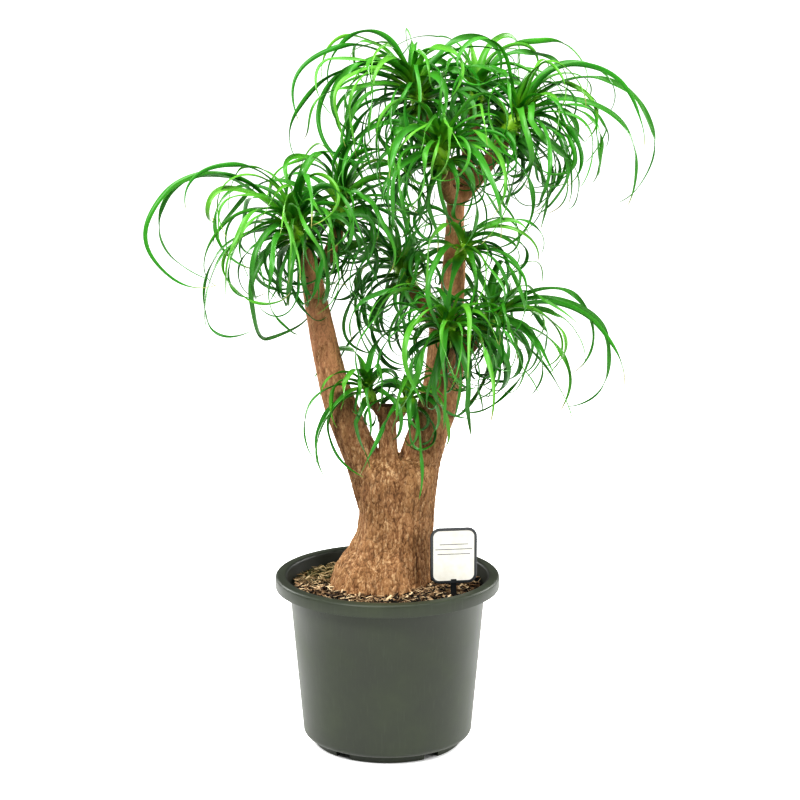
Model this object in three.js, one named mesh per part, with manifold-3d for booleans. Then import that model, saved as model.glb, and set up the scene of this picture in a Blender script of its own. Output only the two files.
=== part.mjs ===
// A ponytail palm in a nursery pot: swollen corky trunk, pruned limbs and twelve heads of strap leaves.
// Millimetres, +Z up. The origin is on the floor, on the pot's axis. The plant's front faces -Y.
import * as THREE from "three";
import { mergeVertices } from "three/addons/utils/BufferGeometryUtils.js";
import Module from "manifold-3d";

const wasm = await Module();
wasm.setup();

// ---- Driving dimensions ----
const POT_HEIGHT = 247;
const RIM_RADIUS = 160; // the outside of the turned-down rim
const MOUTH_RADIUS = 143; // the inner edge of the rim
const RIM_ROUND = 4.5; // the rounding of the rim's upper edges
const RIM_DROP = 18; // how far the rim's lip hangs down
const WALL = 2.6; // moulded wall
const WALL_TOP_RADIUS = 140; // the wall's outside just under the rim
const WALL_FOOT_RADIUS = 121.5; // the wall's outside above the bottom corner
const CORNER_HEIGHT = 20; // where the wall ends and the bottom corner starts
const CORNER_ROUND = 9;
const FOOT_RADIUS = 106; // the ring that the pot stands on
const FOOT_WIDTH = 7;
const FLOOR_LIFT = 8; // the pot's floor above the ground
const FLOOR_ROUND = 6; // the slope between the pot's floor and its wall, inside
const PAD_RADIUS = 28; // the middle pad that also touches the ground
const DRAFT = 1; // how far moulded upright faces lean
const DRAINS = 5; // cuts in the standing ring
const DRAIN_WIDTH = 24;
const DRAIN_HEIGHT = 12.5;
const DRAIN_DEPTH = 20;
const DRAIN_TURN = 36; // degrees, from the front to the first cut
const POT_SIDES = 40;

const GAP = 0.35; // between touching pieces
const SOIL_TOP = 228; // at the wall
const SOIL_MOUND = 5; // how much higher the soil stands beside the trunk
const SOIL_SLOPE = [
  // radius, and the share of the mound's height reached there
  [117, 0.2],
  [97, 0.6],
  [77, 1],
];
const SOIL_WAVE = 1.6; // the height of its small waves
const SOIL_RIPPLE = 10; // and their length, for each radian

const TRUNK_SIDES = 16;
const LIMB_SIDES = 10;
const SHOOT_SIDES = 6;
const BURIED_DEPTH = 75; // how far the trunk's base goes down into the soil
const BURIED_SHARE = 0.72; // its width down there, against its width at the surface

const LABEL_WIDTH = 66;
const LABEL_HEIGHT = 80;
const LABEL_THICKNESS = 3;
const LABEL_CORNER = 13;
const LABEL_BORDER = 4;
const LABEL_RECESS = 0.6; // how far both faces lie below the border
const STAKE_WIDTH = 8;
const STAKE_POINT = 14; // the length of its point
const STAKE_DEPTH = 60; // in the soil
const LABEL_PLACE = new THREE.Vector3(93, -62, 250); // the middle of the label's lower edge
const LABEL_TURN = 8; // degrees, turned towards the trunk

const LINE_STEPS = 30; // short steps along a leaf's middle line
const ARC_STRIDE = 5; // steps to each straight stretch of a long listed leaf
const RULE_STRIDE = 6; // and of the others
const BLADE_LIFT = 0.05; // how far a blade's edges stand up, as a share of its width
const BLADE_KEEL = 0.8; // how far its middle hangs down, beside that share
const BLADE_CLEARANCE = 0.6; // kept round each blade when its place is chosen
const MOST_TRIES = 40;
const GOLDEN_ANGLE = 137.508; // degrees from one leaf to the next round the shoot
const YOUNG_ROOT = 4.2; // where the youngest leaf starts along its head's core, in shoot radii
const OLD_ROOT = 0.6; // and the oldest
const ARC_ROOT = 3.4; // and every long listed leaf

// ---- Small helpers ----
const radians = THREE.MathUtils.degToRad;
const mix = THREE.MathUtils.lerp;
const vec = (x, y, z) => new THREE.Vector3(x, y, z);

// A closed surface from rings of points that all run the same way round, closed at both ends.
function loft(rings) {
  const points = rings.flat();
  const faces = [];
  let start = 0;
  for (let i = 1; i < rings.length; i += 1) {
    const here = rings[i - 1];
    const next = start + here.length;
    const single = rings[i].length === 1;
    for (let j = 0; j < here.length; j += 1) {
      const k = (j + 1) % here.length;
      faces.push(start + j, start + k, single ? next : next + k);
      if (!single) faces.push(start + j, next + k, next + j);
    }
    start = next;
  }
  const cap = (first, count, reversed) => {
    for (let j = 1; j < count - 1; j += 1) {
      faces.push(first, first + (reversed ? j + 1 : j), first + (reversed ? j : j + 1));
    }
  };
  cap(0, rings[0].length, true);
  cap(start, rings.at(-1).length, false);
  const geometry = new THREE.BufferGeometry().setFromPoints(points);
  geometry.setIndex(faces);
  return geometry;
}

// A geometry as a solid that can be joined and cut.
function solidOf(geometry) {
  const bare = geometry.clone();
  bare.deleteAttribute("normal");
  bare.deleteAttribute("uv");
  const merged = mergeVertices(bare, 1e-4);
  return new wasm.Manifold(
    new wasm.Mesh({
      numProp: 3,
      vertProperties: merged.attributes.position.array,
      triVerts: new Uint32Array(merged.index.array),
    }),
  );
}

// The largest body of a solid, as a geometry. Scraps and sealed hollows are left behind.
function geometryOf(solid) {
  const bodies = solid.decompose();
  bodies.sort((a, b) => b.volume() - a.volume());
  const mesh = bodies[0].getMesh();
  const geometry = new THREE.BufferGeometry();
  geometry.setAttribute("position", new THREE.BufferAttribute(mesh.vertProperties, 3));
  geometry.setIndex(new THREE.BufferAttribute(mesh.triVerts, 1));
  return geometry;
}

const joined = (geometries) => wasm.Manifold.union(geometries.map(solidOf));

// A profile of [radius, height] pairs turned round the Z axis.
function turned(profile, sides) {
  const points = profile.map(([radius, height]) => new THREE.Vector2(radius, height));
  return new THREE.LatheGeometry(points, sides).rotateX(Math.PI / 2);
}

// Points round a corner of a profile. The corner's middle is at a radius and a height, and the points run
// from one angle to the other, in degrees.
function roundedCorner(radius, height, size, from, to, steps = 2) {
  return Array.from({ length: steps + 1 }, (_, i) => {
    const angle = radians(mix(from, to, i / steps));
    return [radius + size * Math.cos(angle), height + size * Math.sin(angle)];
  });
}

// ---- Pot ----
// The wall's outer radius at a height between the bottom corner and the rim.
const wallRadius = (z) =>
  mix(WALL_FOOT_RADIUS, WALL_TOP_RADIUS, (z - CORNER_HEIGHT) / (POT_HEIGHT - RIM_DROP - CORNER_HEIGHT));

function potGeometry() {
  const lip = POT_HEIGHT - RIM_DROP;
  const flange = POT_HEIGHT - WALL - DRAFT;
  const footInside = FOOT_RADIUS - FOOT_WIDTH;
  const profile = [
    [0, 0],
    [PAD_RADIUS, 0],
    [PAD_RADIUS + DRAFT, FLOOR_LIFT],
    [footInside - DRAFT, FLOOR_LIFT],
    [footInside, 0],
    [FOOT_RADIUS, 0],
    [FOOT_RADIUS + DRAFT, FLOOR_LIFT + DRAFT],
    ...roundedCorner(WALL_FOOT_RADIUS - CORNER_ROUND, CORNER_HEIGHT, CORNER_ROUND, -70, 0),
    [WALL_TOP_RADIUS, lip],
    [MOUTH_RADIUS + WALL, flange],
    [RIM_RADIUS - WALL, flange],
    [RIM_RADIUS - WALL, lip],
    [RIM_RADIUS, lip],
    ...roundedCorner(RIM_RADIUS - RIM_ROUND, POT_HEIGHT - RIM_ROUND, RIM_ROUND, 0, 90),
    ...roundedCorner(MOUTH_RADIUS + RIM_ROUND, POT_HEIGHT - RIM_ROUND, RIM_ROUND, 90, 180, 1),
    [WALL_TOP_RADIUS - WALL, lip - WALL],
    [WALL_FOOT_RADIUS - WALL, CORNER_HEIGHT],
    [WALL_FOOT_RADIUS - WALL - FLOOR_ROUND, FLOOR_LIFT + WALL],
    [0, FLOOR_LIFT + WALL],
  ];
  let pot = solidOf(turned(profile, POT_SIDES));
  for (let i = 0; i < DRAINS; i += 1) {
    const cut = new THREE.BoxGeometry(DRAIN_WIDTH, DRAIN_DEPTH, 2 * DRAIN_HEIGHT);
    cut.translate(0, -FOOT_RADIUS, 0);
    cut.rotateZ(radians(DRAIN_TURN + (360 / DRAINS) * i));
    pot = pot.subtract(solidOf(cut));
  }
  return geometryOf(pot);
}

// ---- Trunk ----
// Cross-sections of the swollen base: height, middle in X, half width in X, half depth in Y.
const BASE_SECTIONS = [
  [231, -12.5, 74.5, 76],
  [241, -10, 71, 73],
  [254, -8, 67.5, 69],
  [270, -3.5, 63.5, 64],
  [288, 4, 57.5, 56],
  [312, 10.5, 53, 50],
  [345, 13.5, 53.5, 47],
  [375, 12, 58.5, 45.5],
  [403, 9.5, 63, 40],
  [418, 10, 52, 32],
];

// One ring of the swollen base. Shallow flutes run up it, and grow widens it all round.
function baseRing(height, middle, halfWidth, halfDepth, grow = 0) {
  const ring = [];
  for (let i = 0; i < TRUNK_SIDES; i += 1) {
    const angle = (i / TRUNK_SIDES) * 2 * Math.PI;
    const flute = 1 + 0.03 * Math.sin(5 * angle + 0.9) + 0.02 * Math.sin(8 * angle + height / 40);
    const x = middle + (halfWidth * flute + grow) * Math.cos(angle);
    const y = (halfDepth * flute + grow) * Math.sin(angle);
    ring.push(vec(x, y, height));
  }
  return ring;
}

// The plain tapering part of the base that stands in the soil.
function buriedRings(grow, top) {
  const [height, middle, halfWidth, halfDepth] = BASE_SECTIONS[0];
  const share = (z) => mix(1, BURIED_SHARE, (height - z) / BURIED_DEPTH);
  const bottom = height - BURIED_DEPTH - grow;
  return [bottom, height - BURIED_DEPTH / 2, top].map((z) => {
    const ring = baseRing(height, middle, halfWidth * share(z), halfDepth * share(z), grow);
    ring.forEach((point) => point.setZ(z));
    return ring;
  });
}

// A ring of points round a place, square to the way "along". The first point lies across "reference".
function ringRound(middle, along, radius, sides, reference) {
  const across = reference.clone().cross(along).normalize();
  const over = along.clone().cross(across).normalize();
  return Array.from({ length: sides }, (_, i) => {
    const angle = (i / sides) * 2 * Math.PI;
    return middle
      .clone()
      .addScaledVector(across, radius * Math.cos(angle))
      .addScaledVector(over, radius * Math.sin(angle));
  });
}

// Rings along a smooth curve that taper from one radius to the other.
function ringsAlong(curve, from, to, sides, steps, reference) {
  return Array.from({ length: steps + 1 }, (_, i) => {
    const share = i / steps;
    const along = curve.getTangentAt(share);
    return ringRound(curve.getPointAt(share), along, mix(from, to, share), sides, reference);
  });
}

// A limb grows up through its points, and is cut off square at the top.
function limbRings({ path, from, to, steps }) {
  const curve = new THREE.CatmullRomCurve3(path.map((place) => vec(...place)));
  return ringsAlong(curve, from, to, LIMB_SIDES, steps, vec(0, 1, 0));
}

const LIMBS = [
  // left limb
  {
    path: [[-20, -2, 372], [-41, -6, 430], [-67, -10, 498], [-84, -10, 563], [-97, -8, 629], [-108, -4, 692]],
    from: 29,
    to: 14.5,
    steps: 9,
  },
  // cut stub
  { path: [[4, -22, 380], [2, -18, 425], [-1, -16, 496]], from: 17, to: 11.5, steps: 3 },
  // thick right limb
  {
    path: [[34, 2, 372], [48, 4, 417], [66, 7, 473], [79, 10, 527], [85, 12, 600]],
    from: 29,
    to: 27,
    steps: 7,
  },
  // thin upper stem
  { path: [[86, 14, 570], [93, 12, 680], [93, 10, 723], [96, 10, 800]], from: 17, to: 12.5, steps: 5 },
];

// ---- Leaf heads ----
// A head: the place where its shoot leaves the limb, the shoot's end, the way the head points, the shoot's
// radius, how many leaves are placed by rule, the longest of them, and how far they tilt off the head's axis.
const headOf = (name, from, seat, lean, radius, count, length, spread) => ({
  name: `head_${name}`,
  from: vec(...from),
  seat: vec(...seat),
  axis: vec(...lean).normalize(),
  radius,
  count,
  length,
  spread,
});

const HEADS = [
  headOf("left_front", [-107, -3, 680], [-116, -16, 716], [-0.3, -0.35, 0.9], 10, 26, 266, 100),
  headOf("left_back", [-106, -2, 680], [-70, 30, 738], [0.15, 0.1, 1], 9.5, 22, 250, 92),
  headOf("crown_left", [95, 10, 785], [50, 14, 900], [-0.35, -0.1, 0.9], 10, 24, 250, 98),
  headOf("crown_front", [96, 8, 780], [76, -44, 826], [-0.1, -0.5, 0.85], 9.5, 20, 235, 100),
  headOf("crown_back", [96, 12, 785], [122, 50, 892], [0.1, 0.35, 0.95], 10, 24, 245, 98),
  headOf("crown_right", [97, 10, 780], [160, 0, 864], [0.5, -0.1, 0.85], 10, 23, 255, 96),
  headOf("stem_side", [93, 8, 690], [100, -24, 704], [0.2, -0.7, 0.6], 7.5, 13, 205, 100),
  headOf("behind", [84, 16, 575], [36, 50, 650], [-0.5, 0.3, 0.8], 9.5, 22, 240, 104),
  headOf("limb_front", [84, 0, 566], [84, -46, 588], [0, -0.6, 0.8], 9.5, 20, 215, 104),
  headOf("limb_right", [92, 13, 560], [124, 15, 582], [0.6, 0.1, 0.8], 10, 22, 230, 100),
  headOf("stub_left", [-2, -17, 478], [-20, -20, 503], [-0.35, -0.3, 0.9], 6.5, 14, 165, 102),
  headOf("stub_right", [1, -17, 474], [22, -22, 490], [0.4, -0.35, 0.85], 6.5, 14, 155, 102),
];

// A long leaf whose arc stands out. Angles are in degrees: its heading round from +X, its rise at the root,
// its rise at the tip (past -90 it curls back under), and its roll about its own length. "start" is the
// share of its length that comes before the bend, and "power" over 1 puts the bend late.
const arc = (name, heading, rise, length, tip, start, power, roll, width = 12) => ({
  head: `head_${name}`,
  heading,
  rise,
  length,
  tip,
  start,
  power,
  roll,
  width,
});

const ARCS = [
  arc("left_front", 180, 42, 415, -200, 0.2, 1.1, 65),
  arc("left_front", 176, 46, 365, -165, 0.2, 1.0, 60),
  arc("left_front", 180, 68, 240, -90, 0.15, 1.2, 55),
  arc("left_front", 178, 60, 275, -200, 0.1, 1.0, -60, 11),
  arc("left_front", 205, 25, 225, -80, 0, 0.6, 40, 13),
  arc("left_front", -75, 72, 225, -86, 0.15, 1.0, 20, 15),
  arc("left_front", -50, 60, 210, -100, 0.2, 1.0, -40, 13),
  arc("left_front", 240, 15, 200, -150, 0.1, 1.0, -40, 12),
  arc("left_back", -80, 76, 190, -70, 0.3, 1.2, 15, 15),
  arc("left_back", 0, 70, 230, -120, 0.2, 1.0, 55, 13),
  arc("crown_left", 180, 70, 222, -118, 0.25, 1.0, 60, 12),
  arc("crown_left", 180, 54, 265, -112, 0.15, 1.0, 65),
  arc("crown_left", 0, 56, 205, -105, 0.35, 0.9, 60, 14),
  arc("crown_left", 190, 56, 238, -150, 0.1, 1.0, -60),
  arc("crown_left", 186, 25, 270, -105, 0.15, 1.0, 60, 13),
  arc("crown_left", 200, 45, 280, -200, 0.1, 1.0, 60),
  arc("crown_front", -60, 25, 235, -92, 0.1, 0.8, 30, 14),
  arc("crown_front", -8, 14, 270, -165, 0.1, 1.1, 60),
  arc("crown_front", -120, 45, 230, -120, 0.1, 1.0, -40, 14),
  arc("crown_back", 0, 66, 198, -105, 0.1, 1.1, 50, 13),
  arc("crown_back", 180, 66, 180, -100, 0.1, 1.0, -60),
  arc("crown_right", 0, 66, 225, -100, 0.2, 1.0, 60, 13),
  arc("crown_right", 0, 57, 275, -97, 0.2, 0.8, -60),
  arc("crown_right", 0, 46, 365, -130, 0.1, 1.05, 65, 13),
  arc("crown_right", -5, 30, 285, -115, 0.1, 1.0, 60, 13),
  arc("crown_right", -10, 12, 170, -140, 0.1, 1.0, -55, 13),
  arc("limb_right", 0, 40, 340, -150, 0.05, 0.95, 65, 13),
  arc("limb_right", -6, 32, 270, -98, 0.1, 0.95, -60),
  arc("limb_right", 5, 38, 275, -145, 0.2, 1.0, 60),
  arc("limb_right", -50, 35, 170, -60, 0, 0.5, 35, 13),
  arc("limb_right", -30, -10, 190, -62, 0, 0.5, 40),
  arc("limb_front", -90, 10, 200, -95, 0.05, 0.8, 20, 15),
  arc("limb_front", 180, 58, 215, -100, 0.15, 0.9, -60),
  arc("limb_front", 190, 35, 150, -92, 0.05, 0.7, 50, 13),
  arc("limb_front", -15, 25, 170, -185, 0.1, 1.0, 60),
  arc("limb_front", -75, -20, 215, -140, 0.1, 0.9, 30),
  arc("stub_left", 180, 15, 190, -105, 0.1, 1.0, 55, 10),
  arc("stub_left", 195, -10, 140, -110, 0.1, 1.0, 50, 11),
  arc("stub_left", 218, 0, 190, -115, 0.05, 0.8, 45, 11),
  arc("stub_left", 30, 85, 150, -40, 0.3, 1.0, 50, 11),
  arc("stub_right", -120, 0, 155, -70, 0.05, 0.7, 30),
  arc("stub_right", -80, 0, 175, -95, 0.05, 0.7, 30),
];

// Repeatable random numbers from 0 to 1 for a whole-number seed.
function draws(seed) {
  let state = seed >>> 0;
  return () => {
    state = (state + 0x6d2b79f5) >>> 0;
    let mixed = Math.imul(state ^ (state >>> 15), state | 1);
    mixed ^= mixed + Math.imul(mixed ^ (mixed >>> 7), mixed | 61);
    return ((mixed ^ (mixed >>> 14)) >>> 0) / 2 ** 32;
  };
}

// What a leaf placed by rule is drawn from. Turn is in radians, and the other angles are in degrees.
const DRAWN = {
  turn: [-0.25, 0.25],
  tilt: [-9, 9],
  length: [0.75, 1.15], // share of what its age gives it
  curl: [-110, -235], // its rise at the tip, when it is grown
  start: [0.03, 0.25],
  power: [0.8, 1.3],
  drift: [-55, 55], // how far its heading swings towards the tip
  roll: [-70, 70],
  width: [10.5, 14],
};

// The leaf that the rule gives a head at one place. Young leaves stand up in the heart, middle ones are
// longest, and old ones at the bottom are short and curl hard. Each try draws its numbers afresh.
function leafByRule(head, seed, index, attempt) {
  const draw = draws(seed * 100000 + index * 100 + attempt);
  const drawn = ([low, high]) => mix(low, high, draw());
  const age = (index + 0.5) / head.count;
  const turn = radians(GOLDEN_ANGLE * index) + drawn(DRAWN.turn);
  const tilt = radians(mix(10, head.spread, age ** 0.8) + drawn(DRAWN.tilt));
  const across = vec(0, 0, 1).cross(head.axis).normalize();
  const over = head.axis.clone().cross(across);
  const out = across.multiplyScalar(Math.cos(turn)).addScaledVector(over, Math.sin(turn));
  const way = head.axis.clone().multiplyScalar(Math.cos(tilt)).addScaledVector(out, Math.sin(tilt));
  const fullness = mix(0.42, 1, Math.sin(Math.PI * (0.2 + 0.72 * age)));
  const length = head.length * fullness * drawn(DRAWN.length);
  const curl = drawn(DRAWN.curl);
  const youth = Math.max(0, (0.3 - age) / 0.3);
  return {
    heading: Math.atan2(way.y, way.x),
    rise: Math.asin(way.z),
    length,
    tip: radians(mix(curl, -50, 0.85 * youth)),
    start: drawn(DRAWN.start),
    power: drawn(DRAWN.power),
    drift: radians(drawn(DRAWN.drift)),
    roll: radians(drawn(DRAWN.roll)),
    width: drawn(DRAWN.width),
    stride: RULE_STRIDE,
    root: head.seat.clone().addScaledVector(head.axis, head.radius * mix(YOUNG_ROOT, OLD_ROOT, age)),
  };
}

// The leaf of a listed arc. The first try is the arc itself, and later tries stray a little further each.
function leafByArc(head, seed, index, attempt) {
  const draw = draws(seed * 100000 + 50000 + index * 100 + attempt);
  const listed = ARCS.filter((one) => one.head === head.name)[index];
  const stray = () => mix(-1, 1, draw()) * attempt;
  return {
    heading: radians(listed.heading + 1.2 * stray()),
    rise: radians(listed.rise + 0.6 * stray()),
    length: listed.length * (1 + 0.004 * stray()),
    tip: radians(listed.tip + stray()),
    start: listed.start,
    power: listed.power,
    drift: radians(stray()),
    roll: radians(listed.roll),
    width: listed.width,
    stride: ARC_STRIDE,
    root: head.seat.clone().addScaledVector(head.axis, head.radius * ARC_ROOT),
  };
}

// The middle line of a leaf: at each step its place, the way it runs, the way across it, and its width.
function leafLine(leaf) {
  const steps = [];
  for (let i = 0; i <= LINE_STEPS; i += 1) {
    const share = i / LINE_STEPS;
    const bent = Math.max(0, (share - leaf.start) / (1 - leaf.start)) ** leaf.power;
    const rise = leaf.rise + (leaf.tip - leaf.rise) * (0.12 * share + 0.88 * bent);
    const heading = leaf.heading + leaf.drift * share * share;
    const roll = leaf.roll * (1 - (1 - share) ** 2);
    const flat = Math.cos(rise);
    const along = vec(flat * Math.cos(heading), flat * Math.sin(heading), Math.sin(rise));
    const level = vec(-Math.sin(heading), Math.cos(heading), 0);
    const up = along.clone().cross(level);
    const across = level.multiplyScalar(Math.cos(roll)).addScaledVector(up, Math.sin(roll));
    const width = leaf.width * Math.min(1, 0.12 + 4.5 * share) * (1 - share) ** 0.72;
    const place = leaf.root.clone();
    if (i > 0) {
      const before = steps[i - 1];
      const chord = before.along.clone().add(along).normalize();
      place.copy(before.place).addScaledVector(chord, leaf.length / LINE_STEPS);
    }
    steps.push({ place, along, across, width });
  }
  return steps;
}

// The rings of a blade: a flat upper side over a keel, narrowing to a point. "grow" thickens it all round.
function bladeRings(line, stride, grow = 0) {
  const rings = [];
  for (let i = 0; i < LINE_STEPS; i += stride) {
    const { place, along, across, width } = line[i];
    const up = along.clone().cross(across);
    const half = width / 2 + grow;
    const edge = BLADE_LIFT * width + grow;
    const keel = BLADE_KEEL + BLADE_LIFT * width + grow;
    rings.push([
      place.clone().addScaledVector(across, half).addScaledVector(up, edge),
      place.clone().addScaledVector(across, -half).addScaledVector(up, edge),
      place.clone().addScaledVector(up, -keel),
    ]);
  }
  rings.push([line[LINE_STEPS].place.clone().addScaledVector(line[LINE_STEPS].along, grow)]);
  return rings;
}

// ---- Keeping the leaves clear of each other ----
// The stretches between neighbouring rings, each as its triangles and the box round them. The last one
// also holds the cut end.
function stretchesOf(rings) {
  const end = rings.at(-1);
  const cut = end.slice(2).map((corner, j) => [end[0], end[j + 1], corner]);
  return rings.slice(1).map((next, i) => {
    const here = rings[i];
    const triangles = here.flatMap((corner, j) => {
      const k = (j + 1) % here.length;
      if (next.length === 1) return [[corner, here[k], next[0]]];
      return [
        [corner, here[k], next[k]],
        [corner, next[k], next[j]],
      ];
    });
    if (next === end) triangles.push(...cut);
    const box = new THREE.Box3().setFromPoints([...here, ...next]);
    return { triangles, box, isRoot: i === 0 };
  });
}

const ray = new THREE.Ray();
const meeting = new THREE.Vector3();

// Whether any edge of one triangle passes through the other.
function pierces(triangle, [a, b, c]) {
  return triangle.some((start, i) => {
    ray.origin.copy(start);
    ray.direction.subVectors(triangle[(i + 1) % 3], start);
    if (!ray.intersectTriangle(a, b, c, false, meeting)) return false;
    return meeting.distanceToSquared(start) <= ray.direction.lengthSq();
  });
}

function crosses(one, other) {
  if (!one.box.intersectsBox(other.box)) return false;
  return one.triangles.some((a) => other.triangles.some((b) => pierces(a, b) || pierces(b, a)));
}

// Every leaf starts inside its own head's core. Where "rootsMayTouch", it may also share the packed
// middle of the head with the roots of its neighbours.
function isClear(stretches, taken, owner, rootsMayTouch) {
  return stretches.every((stretch) =>
    taken.every((other) => {
      const bothRoots = other.owner === owner && stretch.isRoot && other.isRoot;
      if (bothRoots && (rootsMayTouch || other.isCore)) return true;
      return !crosses(stretch, other);
    }),
  );
}

// The first leaf, out of several tries, that clears everything placed before it. If none does, the tries
// are gone through again, and roots of the same head may touch.
function placeLeaf(tryLeaf, taken, owner) {
  for (const rootsMayTouch of [false, true]) {
    for (let attempt = 0; attempt < MOST_TRIES; attempt += 1) {
      const leaf = tryLeaf(attempt);
      const line = leafLine(leaf);
      const room = stretchesOf(bladeRings(line, leaf.stride, BLADE_CLEARANCE));
      if (isClear(room, taken, owner, rootsMayTouch)) {
        const rings = bladeRings(line, leaf.stride);
        taken.push(...stretchesOf(rings).map((stretch) => ({ ...stretch, owner })));
        return loft(rings);
      }
    }
  }
  return null;
}

// The shoot that carries a head. It bends round to the head's axis and ends square to it.
function shootRings({ from, seat, axis, radius }) {
  const bend = seat.clone().addScaledVector(axis, -0.6 * from.distanceTo(seat));
  const curve = new THREE.QuadraticBezierCurve3(from, bend, seat);
  return ringsAlong(curve, 1.15 * radius, radius, SHOOT_SIDES, 3, vec(0, 0, 1));
}

// The packed leaf bases in the middle of a head, seated on the end of its shoot.
function coreRings({ seat, axis, radius }) {
  const shape = [
    [0, 0.96],
    [1.2, 1.1],
    [3.2, 1],
    [4.8, 0.4],
  ];
  return shape.map(([up, wide]) => {
    const middle = seat.clone().addScaledVector(axis, GAP + up * radius);
    return ringRound(middle, axis, wide * radius, SHOOT_SIDES, vec(0, 0, 1));
  });
}

// ---- Label ----
function roundedPlate(width, height, corner, depth) {
  const shape = new THREE.Shape();
  const right = width / 2;
  shape.moveTo(-right + corner, 0);
  shape.absarc(right - corner, corner, corner, -Math.PI / 2, 0);
  shape.absarc(right - corner, height - corner, corner, 0, Math.PI / 2);
  shape.absarc(-right + corner, height - corner, corner, Math.PI / 2, Math.PI);
  shape.absarc(-right + corner, corner, corner, Math.PI, 1.5 * Math.PI);
  return new THREE.ExtrudeGeometry(shape, { depth, bevelEnabled: false, curveSegments: 3 });
}

// The stake, from inside the plate down to its point. "grow" widens it for the slot in the soil.
function stakeGeometry(grow = 0) {
  const half = STAKE_WIDTH / 2 + grow;
  const bottom = SOIL_TOP - LABEL_PLACE.z - STAKE_DEPTH - grow;
  const shape = new THREE.Shape();
  shape.moveTo(-half, LABEL_BORDER);
  shape.lineTo(-half, bottom + STAKE_POINT);
  shape.lineTo(0, bottom);
  shape.lineTo(half, bottom + STAKE_POINT);
  shape.lineTo(half, LABEL_BORDER);
  const depth = LABEL_THICKNESS + 2 * grow;
  return new THREE.ExtrudeGeometry(shape, { depth, bevelEnabled: false }).translate(0, 0, -grow);
}

function placeLabel(geometry) {
  return geometry
    .translate(0, 0, -LABEL_THICKNESS / 2)
    .rotateX(Math.PI / 2)
    .rotateZ(radians(LABEL_TURN))
    .translate(...LABEL_PLACE);
}

// A plate with a raised border round both faces, on its stake.
function labelGeometry() {
  const plate = roundedPlate(LABEL_WIDTH, LABEL_HEIGHT, LABEL_CORNER, LABEL_THICKNESS);
  let label = joined([plate, stakeGeometry()]);
  const past = 1; // each pocket's cut runs this far out of the plate
  for (const bottom of [-past, LABEL_THICKNESS - LABEL_RECESS]) {
    const width = LABEL_WIDTH - 2 * LABEL_BORDER;
    const height = LABEL_HEIGHT - 2 * LABEL_BORDER;
    const pocket = roundedPlate(width, height, LABEL_CORNER - LABEL_BORDER, LABEL_RECESS + past);
    label = label.subtract(solidOf(pocket.translate(0, LABEL_BORDER, bottom)));
  }
  return placeLabel(geometryOf(label));
}

// ---- Soil ----
function soilGeometry() {
  const inner = (z) => wallRadius(z) - WALL - GAP;
  const bottom = FLOOR_LIFT + WALL + GAP;
  const profile = [
    [0, bottom],
    [inner(CORNER_HEIGHT) - FLOOR_ROUND, bottom],
    [inner(CORNER_HEIGHT), CORNER_HEIGHT],
    [inner(SOIL_TOP), SOIL_TOP],
    ...SOIL_SLOPE.map(([radius, share]) => [radius, SOIL_TOP + share * SOIL_MOUND]),
    [0, SOIL_TOP + SOIL_MOUND],
  ];
  const soil = turned(profile, POT_SIDES);
  const place = soil.attributes.position;
  for (let i = 0; i < place.count; i += 1) {
    const [x, y, z] = [place.getX(i), place.getY(i), place.getZ(i)];
    const isInside = z > SOIL_TOP && Math.hypot(x, y) > 1;
    const wave = Math.sin(x / SOIL_RIPPLE) * Math.cos(y / SOIL_RIPPLE + 1);
    if (isInside) place.setZ(i, z + SOIL_WAVE * wave);
  }
  const hole = loft(buriedRings(GAP, SOIL_TOP + 3 * SOIL_MOUND));
  const slot = placeLabel(stakeGeometry(GAP));
  return geometryOf(solidOf(soil).subtract(solidOf(hole)).subtract(solidOf(slot)));
}

// ---- Assembly ----
const MATERIALS = {
  pot: { color: 0x4f574b, roughness: 0.5 },
  soil: { color: 0x4a3626, roughness: 0.95 },
  bark: { color: 0xa4774c, roughness: 0.9 },
  leaf: { color: 0x3f8f2c, roughness: 0.45 },
  label: { color: 0xeef0ec, roughness: 0.4 },
};

const plant = new THREE.Group();

function addPiece(name, material, geometry) {
  const mesh = new THREE.Mesh(geometry, new THREE.MeshStandardMaterial(MATERIALS[material]));
  mesh.name = name;
  plant.add(mesh);
}

const woodRings = [
  [...buriedRings(0, BASE_SECTIONS[0][0] - 0.5), ...BASE_SECTIONS.map((section) => baseRing(...section))],
  ...LIMBS.map(limbRings),
  ...HEADS.map(shootRings),
];

addPiece("pot", "pot", potGeometry());
addPiece("soil", "soil", soilGeometry());
addPiece("trunk", "bark", geometryOf(joined(woodRings.map(loft))));
addPiece("label", "label", labelGeometry());

const taken = woodRings
  .flatMap(stretchesOf)
  .map((stretch) => ({ ...stretch, owner: "trunk" }));
const cores = HEADS.map(coreRings);
HEADS.forEach(({ name }, i) => {
  const core = stretchesOf(cores[i]);
  taken.push(...core.map((stretch) => ({ ...stretch, owner: name, isRoot: true, isCore: true })));
});

HEADS.forEach((head, order) => {
  const seed = order + 1;
  const listed = ARCS.filter((one) => one.head === head.name);
  const tries = [
    ...listed.map((_, index) => (attempt) => leafByArc(head, seed, index, attempt)),
    ...Array.from({ length: head.count }, (_, index) => (attempt) => leafByRule(head, seed, index, attempt)),
  ];
  const blades = tries.map((tryLeaf) => placeLeaf(tryLeaf, taken, head.name)).filter(Boolean);
  addPiece(head.name, "leaf", geometryOf(joined([loft(cores[order]), ...blades])));
});

export default plant;
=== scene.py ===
# %% [markdown]
# # A ponytail palm in a nursery pot
#
# A ponytail palm grows a swollen, corky base that stores water. Growers saw its trunk off to make it
# branch, and each cut grows heads of long strap leaves. The measured solids say where each piece is. Here
# every piece gets the surface that the real one has, in metres and in the same place.

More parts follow.
